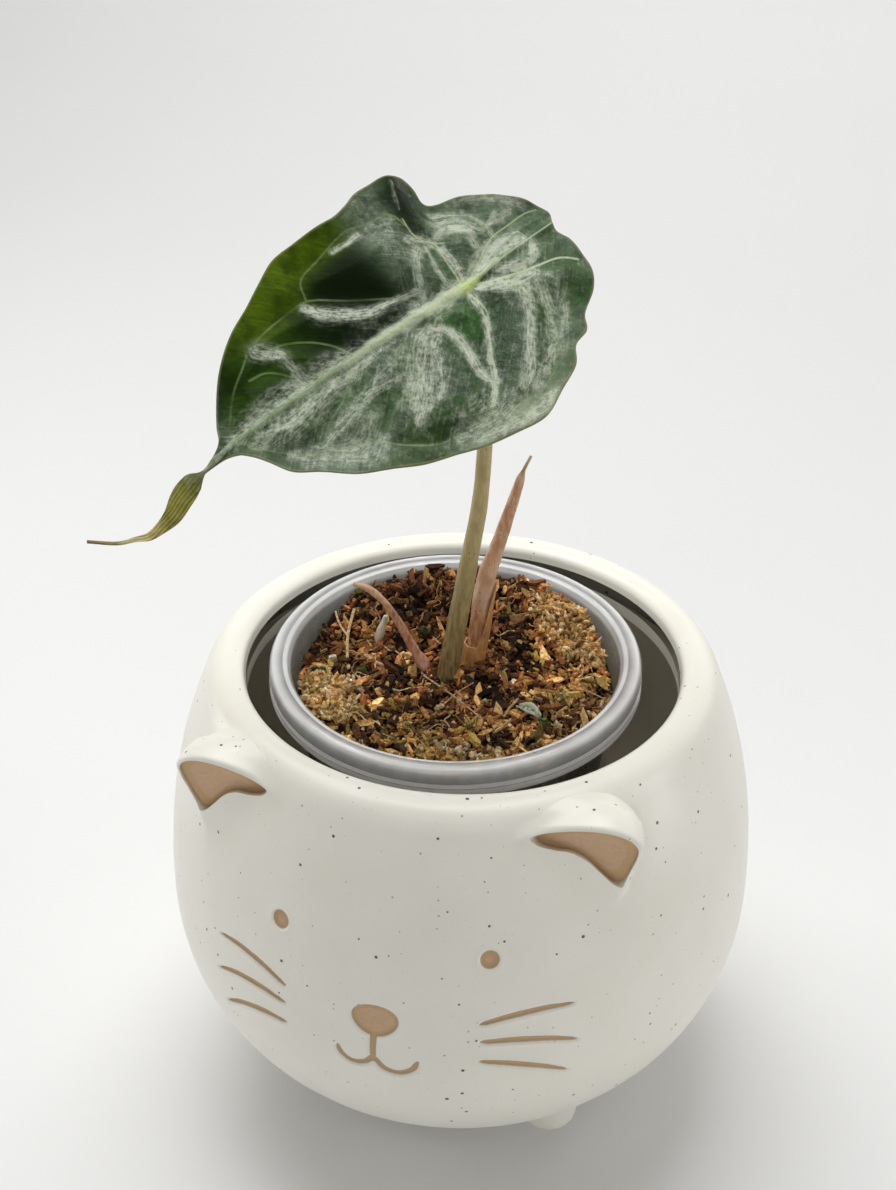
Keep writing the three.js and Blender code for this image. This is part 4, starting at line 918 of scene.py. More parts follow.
def fibres(piece, random, count, reach, lengths, radius, tints, middle=None, lift=0.7):
    """Thin bent fibres that start within the reach, or where middle() says."""
    for _ in range(count):
        start = np.ravel(disk(random, 1, reach) if middle is None else middle(random))
        length = lengths[0] + (lengths[1] - lengths[0]) * random.random()
        heading = 2 * math.pi * random.random() + np.cumsum(0.5 * random.normal(size=7))
        step = np.stack([np.cos(heading), np.sin(heading)], 1) * length / 7
        flat = start + np.vstack([[0, 0], np.cumsum(step, 0)])
        away = np.hypot(flat[:, 0] - CUP_X, flat[:, 1] - CUP_Y)
        held = [CUP_X, CUP_Y] + (flat - [CUP_X, CUP_Y]) * (FIBRE_REACH / away)[:, None]
        flat = np.where(away[:, None] > FIBRE_REACH, held, flat)
        z = mix_height(*flat.T) + lift + 0.7 * random.random()
        z = z + 0.5 * np.sin(np.linspace(0, 3, 8) + 2 * random.random())
        line = Curve(np.c_[flat, z]).points_at(13)
        tint = np.array(tints[random.integers(len(tints))]) * (0.8 + 0.4 * random.random())
        piece.add(*tube(line, radius * (0.7 + 0.6 * random.random()), 5), tint=tint)


def growing_mix():
    random = np.random.default_rng(31)
    piece = Piece()
    angle = round_angles(MIX_SIDES)
    r = np.linspace(0.01, cup_inner_radius(MIX_Z) - 0.35, 46)[:, None]
    x, y = CUP_X + r * np.cos(angle), MIX_Y + r * np.sin(angle)
    top = np.stack([x, y, mix_height(x, y) - 0.5 + swell(x, y)], -1)
    low = []
    for height, inset in ((60, 0.5), (CUP_FLOOR + 3, 0.5), (CUP_FLOOR + 1.25, 2.9), (CUP_FLOOR + 1.25, None)):
        r = cup_inner_radius(height) - inset if inset else 0.01
        ring = [CUP_X + r * np.cos(angle), CUP_Y + r * np.sin(angle), 0 * angle + height]
        low.append(leaned(np.stack(ring, -1)))
    grid = np.concatenate([top, np.array(low)])
    tint = pick(random, DARK, grid.shape[:2]) * 0.7
    piece.add(grid, grid_faces(len(grid), MIX_SIDES, True)[:, ::-1], tint=tint.reshape(-1, 3))
    for count, *spans, lift, tilt, tan in CHIPS:
        x, y = disk(random, count, MIX_REACH)
        # Chips lie low where the scrap of leaf rests on them
        rise = swell(x, y) - 1.3 * bell(np.hypot(x - SCRAP_X, y - SCRAP_Y), 4)
        z = mix_height(x, y) + rise + lift[0] + (lift[1] - lift[0]) * random.random(count)
        sizes = draw_sizes(random, spans, count)
        flakes(piece, random, np.stack([x, y, z], 1), *sizes, tilt, pick_tints(random, x, y, tan))
    for patch in CRUMBS:
        crumbs(piece, random, *patch)
    fibres(piece, random, 420, FIBRE_REACH, (2, 7), 0.1, COIR)
    fibres(piece, random, 30, 34, (4, 10), 0.17, STRAW)
    for path, radius in TWIGS:
        x, y, lift = np.transpose(path)
        line = Curve(np.stack([x, y, mix_height(x, y) + lift], 1)).points_at(20)
        piece.add(*tube(line, radius, 6), tint=srgb(206, 176, 134))
    piece.build("mix_loose", mix_look(), "growing_mix", flat=True)


# Clumps of moss: middle, half width and depth, turn, seed and colours
MOSS = [("moss_left", -30, -16.5, 12.5, 7, 132, 5, TAN + CREAM[:2] + TAN[:1]),
        ("moss_right", 21, 25, 16, 7.5, 142, 8, BROWN[1:2] + BROWN[3:] + TAN[:3] + TAN[:3] + CREAM[:2])]
MOSS_FLAKES, MOSS_CORE = 460, 0.82


def moss(name, x, y, width, depth, turn, seed, tints):
    random = np.random.default_rng(seed)
    piece = Piece()
    way = math.radians(turn)
    rings, segments = 12, 40

    def turned(u, v):
        return x + u * math.cos(way) - v * math.sin(way), y + u * math.sin(way) + v * math.cos(way)

    def spot(draw):
        spread, reach = 2 * math.pi * draw.random(), 0.85 * math.sqrt(draw.random())
        return turned(width * reach * math.cos(spread), depth * reach * math.sin(spread))

    lat, angle = np.linspace(-0.2, math.pi / 2, rings)[:, None], round_angles(segments)
    px, py = turned(np.cos(lat) * np.cos(angle) * width * MOSS_CORE,
                    np.cos(lat) * np.sin(angle) * depth * MOSS_CORE)
    bump = soft_noise(px * 0.9 + 50, py * 0.9 + 50, seed)
    pz = mix_height(px, py) + 0.4 + np.sin(lat) * 2.2 + bump * 0.9
    core = hold_inside(np.stack([px, py, pz], -1).reshape(-1, 3))
    piece.add(core, grid_faces(rings, segments, True), tint=srgb(84, 58, 34))
    spots = np.array([spot(random) for _ in range(MOSS_FLAKES)])
    rise = np.clip(1 - ((spots - [x, y]) ** 2).sum(1) / width ** 2, 0, 1)
    lift = 3.2 * rise * random.random(MOSS_FLAKES) ** 0.6
    places = hold_inside(np.c_[spots, mix_height(*spots.T) + 0.8 + lift])
    sizes = draw_sizes(random, ((1.6, 5.2), (0.7, 2.2), (0.4, 1.0)), MOSS_FLAKES, 1.3)
    lumps = smooth(soft_noise(spots[:, 0] * 0.5 + 60, spots[:, 1] * 0.5 + 60, seed), 0.2, 0.6)[:, None]
    picked = pick(random, tints, MOSS_FLAKES) * (0.6 + 0.6 * lumps + 0.4 * random.random((MOSS_FLAKES, 1)))
    flakes(piece, random, places, *sizes, 0.75, picked)
    fibres(piece, random, 90, 0, (2, 6), 0.15, tints, spot, lift=2.4)
    piece.build(name + "_strands", mix_look(), name)


def leaf_scrap():
    """Arched along its length, with its edges curled up."""
    s, t = np.linspace(-0.5, 0.5, 30)[:, None], np.linspace(-1, 1, 17)
    half = 0.5 + 1.5 * np.cos(math.pi * s * 0.9)
    way = math.radians(SCRAP_TURN)
    x = SCRAP_X + SCRAP_LENGTH * s * math.cos(way) + 0.45 * t * half
    y = SCRAP_Y + SCRAP_LENGTH * s * math.sin(way) + 0.9 * t * half
    z = mix_height(x, y) + 0.45 + 0.8 * (1 - 4 * s * s)
    z = z + 1.5 * np.abs(t) ** 1.5 + 0.15 * np.sin(9 * s + 3 * t)
    shade = smooth(np.abs(t) + 0 * s, 0.55, 0.95).ravel()[:, None]
    tint = np.array(srgb(96, 112, 70)) * (1 - shade) + np.array(srgb(214, 216, 188)) * shade
    piece = Piece()
    vertices, faces = sheet(np.stack([x, y, z + 0.25], -1), np.stack([x, y, z - 0.2], -1))
    # Painted shade: the underside takes a darker copy of the tints
    piece.add(vertices, faces, tint=np.vstack([tint, tint * 0.8]))
    look = stalk_look("pale_leaf", srgb(120, 134, 92), srgb(212, 212, 190), srgb(96, 84, 52), (1, 1, 1), 0.6)
    piece.build("scrap_curled", look, "leaf_scrap")


# Leaf, with the CAD source's figures: a is from the joint to the tip, b across and h up from the face

LEAF_JOINT = np.array([-1.2, 2.4, 222.4])
MIDRIB = [[-30, -2.3], [-15, -1], [0, 0], [12, -0.9], [24, -1.6], [40, -2.3], [54, -2.8], [64, -3.2],
          [72.8, -3.2]]
LOWER_EDGE = [[-30, -2.3], [-29, 1], [-28.5, 6], [-26.5, 14], [-23.5, 18], [-17, 22], [-14, 25.5],
              [-9, 27], [-5, 31], [2, 34], [11, 37.5], [18, 36], [23.5, 34], [30, 31], [38.5, 28.5],
              [44, 24.5], [49, 20.5], [54.5, 14.5], [59, 10.5], [61.5, 5], [64, 1], [67.5, -1.4],
              [70.5, -2.4], [72.8, -3.05]]
UPPER_EDGE = [[-30, -2.3], [-31.2, -4.5], [-28.5, -9.5], [-23.5, -13], [-18.5, -16], [-14, -18.5],
              [-9, -20.5], [-6.5, -22.5], [-6.3, -26], [-5, -28.5], [-1.5, -29.3], [2.5, -30.5],
              [6.5, -31.5], [10.5, -30.5], [14, -30], [19.5, -30.5], [25.5, -30.7], [31.5, -30.5],
              [37.5, -28], [43, -25.5], [49, -23], [55, -19], [59, -15.5], [64, -9.5], [66.5, -5.8],
              [68.5, -4.6], [70.5, -4], [72.8, -3.35]]
VEINS = [
    [[0, 0], [-6.5, -3], [-14, -6.5], [-19.5, -7], [-25.5, -7.5], [-29, -7]],
    [[-14, -6.5], [-14.7, -9.5], [-14, -12.5], [-11.5, -15.5], [-7, -18.5]],
    [[0, 0], [-4.5, 1.5], [-11.5, 4], [-17.5, 5.5], [-23, 7], [-26, 10]],
    [[-9.5, 3.5], [-11.5, 7], [-12.5, 11], [-11.5, 16.5], [-6.5, 24], [-1, 28.5]],
    [[0.5, 0.5], [0, 4.5], [0.7, 8.5], [4, 12.5], [7.5, 17.5], [11, 23], [15.5, 26.5], [18, 29]],
    [[17.5, -1], [14, 3], [11, 5.5], [10.3, 10.5], [11, 16], [11.5, 22.5]],
    [[18, -1], [21.5, 5], [25.5, 10.5], [32.5, 13.5], [38, 17], [40.5, 17]],
    [[31.5, -2], [39, 4], [45, 6.5], [50, 9.5]],
    [[62, 0.5], [57, 6], [52, 10.5], [46, 14], [40.5, 17], [37, 21.5], [32, 26], [26.5, 27.5], [18, 29],
     [12.5, 31], [4.5, 31], [-3, 28]],
    [[0, -1], [-0.5, -5], [-1, -8.5], [-1.5, -12.5], [0.5, -14.5], [2, -17], [2, -20.5]],
    [[8, -1], [10, -3], [15.5, -8], [23.5, -13.5], [31, -19], [36.5, -19.3], [43.5, -19], [48, -18],
     [52, -15.5], [57, -12.5], [62, -7.5]],
    [[31, -19], [29, -23.5], [23, -25], [13, -26.5], [8.5, -25], [4.5, -23.5], [2, -18]],
    [[30.5, -2.5], [33, -7], [36.5, -11], [42, -14.5], [46.5, -15.5]],
    [[43, -3], [45, -7.5], [48.5, -11.5], [52.5, -12.5]],
]
HOOD_RIDGE = [[-1, -31], [3, -20], [7, -9], [9.5, -3]]
LEAF_ROWS, LEAF_COLUMNS = 300, 75
DRIP_ROWS, DRIP_SIDES = 98, 72
VEIN_LINES = [Curve(line).points_at(4 * len(line)) for line in VEINS]
# Silvery strokes, the leaf's own silver with painted sheen and glints along it: how silvery, then places a, b
# and half widths along each
STROKES = [
    (0.95, [(-3, -0.6, 1.2), (6, -0.9, 1.6), (20, -1.4, 1.1), (34, -1.9, 0.8)]),
    (0.55, [(30, -2.6, 1.4), (44, -3.6, 2.6), (56, -3.8, 2.4), (66, -3.2, 0.8)]),
    (0.55, [(26, 0.2, 1), (40, 0.6, 2.2), (52, 1.6, 3), (60, 0.6, 1.8)]),
    (0.8, [(-1, -1, 1), (-2, -8, 0.8), (-1.5, -12, 0.9), (1, -15, 1), (4.5, -15.5, 0.8)]),
    (0.85, [(-9, -7, 0.9), (-9.5, -10.5, 1.4), (-6.5, -13.5, 1.2), (-3, -13.6, 0.8)]),
    (0.5, [(-5, -15.5, 2), (-10, -14.5, 2.4), (-12.5, -10, 1.4)]),
    (0.55, [(-14.5, -6.5, 0.7), (-14.8, -10, 0.7), (-12.5, -14.5, 0.7), (-6, -19.5, 0.7)]),
    (0.75, [(-22, -9.5, 0.9), (-19, -9.6, 1.2), (-16, -9.4, 0.7)]),
    (0.7, [(-13, -6, 0.6), (-7, -4.3, 0.8), (-1, -1, 0.9)]),
    (0.9, [(-19.5, -3, 1.6), (-14, -3.4, 1.6), (-8, -2.4, 1.6), (-4, -1.4, 1)]),
    (0.85, [(-21, -0.5, 1), (-18.5, 3, 1), (-14, 3.2, 1.2), (-9.5, 1, 1)]),
    (0.85, [(-15, 6.4, 1.2), (-10, 5.6, 2.2), (-5.5, 3.4, 1.8), (-2, 1.4, 0.8)]),
    (0.75, [(-10.5, 8, 1.6), (-8.5, 12, 1.4), (-4.5, 17, 1.2), (-0.5, 21, 1.2), (4, 26, 1.2), (8, 28.5, 1)]),
    (0.62, [(-14, 6, 0.8), (-13.8, 11, 1.2), (-11, 17, 1.2), (-6, 23, 1.2), (0, 27, 1.2), (6, 30, 1)]),
    (0.35, [(-17, 9, 1), (-15.5, 16, 1.2), (-10, 22, 1.2), (-5, 26, 1)]),
    (0.8, [(0, 1, 1), (0.8, 5, 0.8), (3, 11, 0.7), (7, 16, 0.6), (11, 22, 0.8), (16, 27, 0.9)]),
    (0.85, [(13, 3.2, 1), (10.8, 5.5, 0.9), (10.3, 10, 0.9), (11.4, 15, 0.9), (12.4, 20, 0.9),
            (11.5, 23, 0.7)]),
    (0.62, [(11, 2.8, 1.2), (17, 5.6, 2.8), (21, 9, 3.4), (25, 13.5, 3.4), (28, 17, 2.6), (31.5, 20, 1)]),
    (0.6, [(17, 9, 1), (20, 14, 1), (24.5, 18.5, 0.9)]),
    (0.5, [(22, 3.5, 1.2), (28, 5.5, 1.2), (33, 6.5, 0.8)]),
    (0.5, [(24, 8.5, 0.7), (30, 8, 1.2), (36, 7.6, 1.4), (44, 9.5, 1.6), (50, 10, 1)]),
    (0.5, [(38, 12, 1.5), (42, 14, 3), (46, 14.5, 4), (50, 12, 3), (56, 7.5, 1.4)]),
    (0.45, [(41, 18, 2), (44, 19.5, 2), (48, 16, 2)]),
    (0.55, [(3, 33.5, 1), (10, 35.3, 1.6), (18, 33.5, 1.6), (24, 31.5, 1)]),
    (0.45, [(12, 29, 2), (18, 29.5, 2.4), (26, 28, 1.8)]),
    (0.4, [(14, 24.5, 2.2), (20, 25.5, 2), (24, 24, 1.2)]),
    (0.7, [(9, -5.5, 0.8), (17, -7.5, 0.8), (22, -8, 1.6), (27, -11, 1.8), (31, -14.5, 1.8), (32.5, -18, 1)]),
    (0.6, [(43, -4.5, 1.8), (43.5, -9, 1.2), (44, -13, 1.8), (47, -16.5, 2.2)]),
    # Painted glints
    (0.7, [(12, -24, 0.8), (15.5, -24, 0.7), (19, -24.5, 0.7)]),
    (0.75, [(3.5, -13, 1.2), (6.5, -10, 1), (8.5, -6, 1), (9.5, -3.5, 0.8)]),
    (0.6, [(1, -13, 0.6), (2.5, -8, 0.6), (3, -3, 0.8)]),
    # Painted glints in the hood's pocket
    (0.5, [(-0.8, -28, 0.3), (0.6, -25, 0.45), (1.4, -22.5, 0.3)]),
    (0.3, [(8, -30, 2.5), (7.5, -22, 3), (9.5, -14, 2.4), (12, -7, 1.4)]),
    (0.5, [(-12, -19, 1.2), (-20, -14.5, 1.6), (-26, -9.5, 1.2)]),
]
GREENS = {"grey_sheen": srgb(102, 122, 94), "mid": srgb(64, 92, 50), "cell": srgb(42, 70, 32),
          "black": srgb(12, 22, 5), "lime_glow": srgb(88, 112, 16), "olive": srgb(46, 72, 12),
          "pale": srgb(134, 146, 114), "fresh": srgb(62, 110, 42)}
# Broad patches of the blade's green, some of them painted light: the grey and pale ones are painted sheen
# over grey-green, the lime ones a lime-green margin with painted light shining through it, and the black ones
# by the hood painted shade in its pocket. Each gives place a and b, and reach along each
PATCHES = [("grey_sheen", -22, -8, 11, 7), ("grey_sheen", -13, -16, 9, 5), ("mid", -25, 4, 5, 12),
           ("mid", -16, 17, 8, 10), ("mid", -2, 29, 9, 4), ("pale", 12, 34.5, 14, 3.5),
           ("cell", -1, 12, 6, 9), ("fresh", 6, 7, 3.2, 4), ("cell", 6, 20, 5, 7), ("cell", 17, 14, 6, 8),
           ("mid", 18, 25, 9, 4), ("olive", 35, 24, 8, 4), ("mid", 38, 8, 14, 7), ("grey_sheen", 47, 15, 8, 6),
           ("cell", 55, 5, 4, 3), ("grey_sheen", 8, -22, 4.5, 11), ("grey_sheen", 7, -27, 5, 6),
           ("grey_sheen", 9, -16, 3.5, 6), ("black", 17, -15, 6, 9), ("lime_glow", 25, -28, 14, 4),
           ("lime_glow", 42, -23, 9, 4.5), ("black", 29, -9, 9, 6), ("olive", 48, -11, 11, 7),
           # The next three black patches, by the hood, are painted shade in its pocket
           ("black", 1.5, -19, 3.5, 4), ("black", -0.5, -26, 2.4, 4), ("black", 1, -22, 2.6, 5),
           ("black", 24, -20, 6, 4)]


def leaf_frame(heading=-36, dip=18, roll=31):
    """Directions to the blade's tip, across it and up from its face."""
    azimuth, dip, roll = (math.radians(x) for x in (heading, dip, roll))
    tip = np.array([math.sin(azimuth) * math.cos(dip), -math.cos(azimuth) * math.cos(dip), -math.sin(dip)])
    level = np.array([math.cos(azimuth), math.sin(azimuth), 0])
    up = -np.cross(level, tip)
    side = level * math.cos(roll) - up * math.sin(roll)
    return tip, side, up * math.cos(roll) + level * math.sin(roll)


LEAF_TIP, LEAF_SIDE, LEAF_FACE = leaf_frame()


def leaf_point(a, b, h):
    a, b, h = (np.asarray(x, float)[..., None] for x in (a, b, h))
    return LEAF_JOINT + a * LEAF_TIP + b * LEAF_SIDE + h * LEAF_FACE


def vein_distance(a, b):
    return np.min([line_distance(a, b, line) for line in VEIN_LINES], 0)


def blade_height(a, b):
    """Height of the blade's face: its sweep and wavy margin, the hood, and quilting between the veins."""
    droop = np.where(a > 0, -0.00145, -0.0035) * a * a
    trough = 0.0032 * b * b * bell(a - 20, 45)
    x, y = (a - 20) / 50, b / 35
    angle = np.arctan2(y, x)
    margin = smooth(np.hypot(x, y), 0.62, 1)
    sweep = droop + trough + margin * (1.3 * np.sin(7 * angle + 0.6) + 0.7 * np.sin(11 * angle + 2))
    sweep = sweep - 2.9 * smooth(a, 66, 73)
    towards = smooth(-b, 4, 30)
    hood = 6 * towards * bell(line_distance(a, b, HOOD_RIDGE), 5)
    hood = hood - 3 * towards * bell(np.hypot(a + 6, b + 20), 6)
    vein, rib = vein_distance(a, b), line_distance(a, b, MIDRIB)
    quilt = 1.7 * (1 - bell(np.minimum(vein, rib), 5.5)) - 0.7 * bell(vein, 2.8) - 0.8 * bell(rib, 3)
    return sweep + hood + (quilt + 0.9 * bell(rib, 1.3))


def blade_depth(a, b, edge):
    vein, rib = vein_distance(a, b), line_distance(a, b, MIDRIB)
    taper = np.clip((76 - a) / 60, 0.2, 1)
    return (0.45 + 0.25 * smooth(edge, 0, 1.5)) + 1.3 * taper * bell(rib, 1.9) + 0.3 * bell(vein, 1.5)


def blade_paint(a, b, edge):
    """How silvery the blade is, with painted sheen and glints, the grain of its strokes, and its broad
    colours, which hold painted sheen, glow and shade.
    """
    silver = np.zeros(a.shape)
    grain = np.stack([a * 0.6, b * 0.6, 0 * a], -1)
    for k, (strength, points) in enumerate(STROKES):
        line = Curve(points).points_at(5 * len(points))
        distance, share, along, side = line_distance(a, b, line[:, :2], True)
        half = np.interp(share, np.linspace(0, 1, len(line)), line[:, 2])
        reach = distance / half
        amount = strength * (0.7 * smooth(reach, 2, 0) + 0.32 * smooth(reach, 4.5, 0))
        first = amount > np.maximum(silver, 0.04)
        grain[first] = np.stack([side * distance, along, 0 * along + 7.3 * k], -1)[first]
        silver = np.maximum(silver, amount)
    silver *= smooth(edge, 0, 1.2) * 0.5 + 0.5
    weight = np.full(a.shape, 0.05)
    tint = weight[..., None] * np.array(GREENS["mid"])
    for name, pa, pb, ra, rb in PATCHES:
        share = np.exp(-((a - pa) / ra) ** 2 - ((b - pb) / rb) ** 2)
        tint += share[..., None] * np.array(GREENS[name])
        weight += share
    tint = tint / weight[..., None]
    joint = np.clip(bell(np.hypot(a + 1, b), 2.8), 0, 1)[..., None]
    far = smooth(a, 5, 55)[..., None]
    ribtint = np.array(srgb(186, 200, 158)) * (1 - far) + np.array(srgb(122, 142, 104)) * far
    ribtint = ribtint * (1 - joint) + np.array(srgb(186, 206, 96)) * joint
    return silver, grain, tint, ribtint


def leaf_blade():
    u = np.r_[0.0008, np.linspace(0, 1, LEAF_ROWS + 1)[1:]]
    middle, upper, lower = (Curve(line).even(u) for line in (MIDRIB, UPPER_EDGE, LOWER_EDGE))
    share = np.linspace(-1, 1, 2 * LEAF_COLUMNS + 1)[None, :, None]
    edge_points = np.where(share < 0, upper[:, None], lower[:, None])
    flat = middle[:, None] + np.abs(share) * (edge_points - middle[:, None])
    a, b = flat[..., 0], flat[..., 1]
    edge = np.maximum(outline_distance(a, b, np.vstack([upper[::6], lower[::-6]])), 0)

    def surface(a, b):
        return leaf_point(a, b, blade_height(a, b))

    top = surface(a, b)
    step = 0.3
    normal = unit(np.cross(surface(a + step, b) - surface(a - step, b),
                           surface(a, b + step) - surface(a, b - step)))
    normal *= np.sign(normal @ LEAF_FACE)[..., None]
    low = top - blade_depth(a, b, edge)[..., None] * normal
    vein, rib = vein_distance(a, b), line_distance(a, b, MIDRIB)
    silver, grain, tint, ribtint = blade_paint(a, b, edge)
    off = b - np.interp(a, *np.transpose(MIDRIB))
    ribwide = np.interp(a, [-30, -12, -4, 0, 20, 50, 71], [0.22, 0.35, 0.8, 2, 1.6, 1.1, 0.6])
    main = np.min([line_distance(a, b, VEIN_LINES[k]) / wide
                   for k, wide in ((2, 0.42), (4, 0.26), (9, 0.26), (0, 0.2))], 0)
    # Grain that runs out from the midrib like the side veins, and where the blade is glossy
    flow = np.stack([a - 1.15 * np.abs(off), np.abs(off) + 30 * (off > 0), 0 * a], -1)
    gloss = 1 - smooth(-off, 3, 7) * smooth(a + 0.35 * b, 2, 8) * smooth(a, 62, 54)
    gloss *= 1 - 0.8 * bell(np.hypot(a - 0.5, (b + 23.5) * 0.4), 3)
    gloss = np.maximum(gloss, smooth(silver, 0.25, 0.7) * 0.8)
    values = {"vein": vein, "rib": np.minimum(rib / ribwide, main), "edge": edge, "silver": silver,
              "gloss": gloss, "tint": tint, "ribtint": ribtint, "flow": flow, "stroke": grain}
    both = {name: np.concatenate([v, v]).reshape(-1, *v.shape[2:]) for name, v in values.items()}
    piece = Piece()
    piece.add(*sheet(top, low), **both, under=np.repeat([0.0, 1.0], a.size))
    drip_tip(piece)
    piece.build("leaf_fine", leaf_look(), "leaf_blade")


# Places a, b and h along the drip tip, its half width and its turn in degrees
DRIP = np.array([(65.5, -3, -6.1, 0.6, 0), (68.2, -3, -6.7, 0.8, 0), (70.6, -3.1, -8, 0.9, 30),
                 (72.8, -3.3, -10.1, 1, 100), (75.6, -3.3, -11.6, 2.3, 160),
                 (79.1, -2.6, -13.2, 2.9, 185), (83, -1.1, -15, 2.4, 190), (86.6, -0.8, -16.4, 1.7, 200),
                 (89.3, -1, -17.2, 1.3, 205), (92.2, -2.5, -17.6, 0.8, 210), (95.4, -4, -17.8, 0.6, 210),
                 (100.7, -8.4, -17.4, 0.45, 210)])


def drip_tip(piece):
    """The twisted, cupped and striped ribbon that runs on from the blade."""
    steps, sides = DRIP_ROWS, DRIP_SIDES
    s = np.linspace(0, 1, steps)
    place = s * (len(DRIP) - 1)
    points = Curve(leaf_point(*DRIP[:, :3].T)).at(s)
    ahead = unit(np.gradient(points, axis=0))
    half, turn = (Curve(np.c_[DRIP[:, k], np.arange(len(DRIP))]).at(s)[:, 0] for k in (3, 4))
    turn = np.radians(turn)
    level = unit(LEAF_SIDE - (ahead @ LEAF_SIDE)[:, None] * ahead)
    up = np.cross(ahead, level)
    flat = np.cos(turn)[:, None] * level + np.sin(turn)[:, None] * up
    through = np.cross(ahead, flat)
    angle = round_angles(sides)
    u, v = np.cos(angle), np.sin(angle)
    thick = 0.3 + 0.12 * np.interp(place, [0, 4, 11], [1, 0, 0.4])
    cupped = 0.35 * smooth(half, 1, 2.5)
    rise = thick[:, None] * v + cupped[:, None] * (u * u - 0.4)
    wide = (half[:, None] * u)[..., None] * flat[:, None]
    ring = points[:, None] + wide + rise[..., None] * through[:, None]
    tint = ramp(place, [0, 3, 4, 6.5, 8.5, 9.5, 11],
                [srgb(88, 112, 84), srgb(120, 126, 58), srgb(146, 146, 48), srgb(176, 164, 70),
                 srgb(214, 196, 128), srgb(214, 198, 138), srgb(128, 98, 66)])
    across = np.tile(u, steps) * np.repeat(half, sides)
    wander = np.repeat(0.3 * np.sin(place * 1.7), sides)
    stripe = 0.78 + 0.34 * np.sin(7.4 * (across + wander)) + 0.16 * np.sin(13 * across + 4 * wander)
    tint = np.repeat(tint, sides, 0)
    tint *= (1 + (stripe - 1) * np.repeat(smooth(place, 3, 4) * smooth(place, 10.5, 8.5), sides))[:, None]
    tint = np.vstack([tint, tint[:1], tint[-1:]])
    flow = np.stack([across * 4, np.repeat(place, sides) * 2, 0 * across], 1)
    flow = np.vstack([flow, np.zeros((2, 3))])
    # Silver with painted sheen, strongest near the blade
    silver = np.r_[np.repeat(np.interp(place, [0, 3, 5, 9, 11], [0.6, 0.4, 0.08, 0.2, 0.0]), sides), 0, 0]
    piece.add(*closed_tube(points, ring), vein=9.0, rib=9.0, edge=9.0, silver=silver, gloss=0.7,
              tint=tint, ribtint=tint, flow=flow, stroke=flow, under=0.0)


# Stems, each by points on its middle line and radii and tints from its foot, 0, to its end, 1

SEAT = float(blade_height(np.array(0.0), np.array(0.0)) - 2.3)
PETIOLE = [(-6.4, 1.1, 102), (-5.4, 1.3, 108), (-4.5, 1.5, 114), (-3.2, 1.9, 124.5), (-1.3, 2.4, 137.6),
           (0.9, 2.9, 152.8), (2.7, 3.4, 166), (3.6, 3.9, 181.8), (3.3, 4.7, 197), (1, 5.2, 210),
           tuple(leaf_point(0, 0, SEAT - 3.5)), tuple(leaf_point(0, 0, SEAT + 0.2))]
NEW_LEAF = [(-2.2, 8.6, 103), (-0.9, 9.2, 110), (0.3, 9.7, 117.3), (1.2, 10, 125), (1.9, 10.2, 133.5),
            (3.3, 10.5, 142), (6.3, 11.3, 152.6), (8.9, 11.9, 162.1), (11, 12.5, 170.6),
            (12.9, 12.9, 175.4)]
OLD_PETIOLE = [(-10.6, 4.9, 106), (-11.3, 4.7, 110.5), (-12.1, 4.5, 116), (-15, 3.8, 122),
               (-17.9, 3.2, 128.2), (-21.3, 3, 133.3), (-25.4, 3.4, 136.4), (-30, 4.6, 136.6)]
BRACT = [(-27, 9.4, 109), (-26, 9.6, 114), (-24.9, 9.9, 119), (-23.4, 10.3, 124.6)]
NEW_LEAF_RADII = [(0, 1.9), (0.2, 2.1), (0.45, 2.45), (0.6, 2.1), (0.8, 1.5), (0.91, 1.05), (0.94, 0.5),
                  (1, 0.35)]


def stem_piece(name, node, points, radii, tints, look, steps, sides, wobble, seed):
    """A stem with a slightly uneven wall."""
    s = np.linspace(0, 1, steps)
    line = Curve(points).even(s)
    radius = np.interp(s, *np.transpose(radii))
    vertices, faces = tube(line, radius, sides)
    ring = np.repeat(np.arange(steps), sides)
    angle = np.tile(round_angles(sides), steps)
    push = wobble * (soft_noise(ring * 0.12 + 3, 2 + 2 * np.cos(angle), seed) - 0.5) * radius[ring]
    wall = vertices[: steps * sides]
    wall += unit(wall - line[ring]) * push[:, None]
    tint = ramp(s, *zip(*tints))
    piece = Piece()
    piece.add(vertices, faces, tint=np.vstack([np.repeat(tint, sides, 0), tint[:1], tint[-1:]]))
    piece.build(name, look, node)


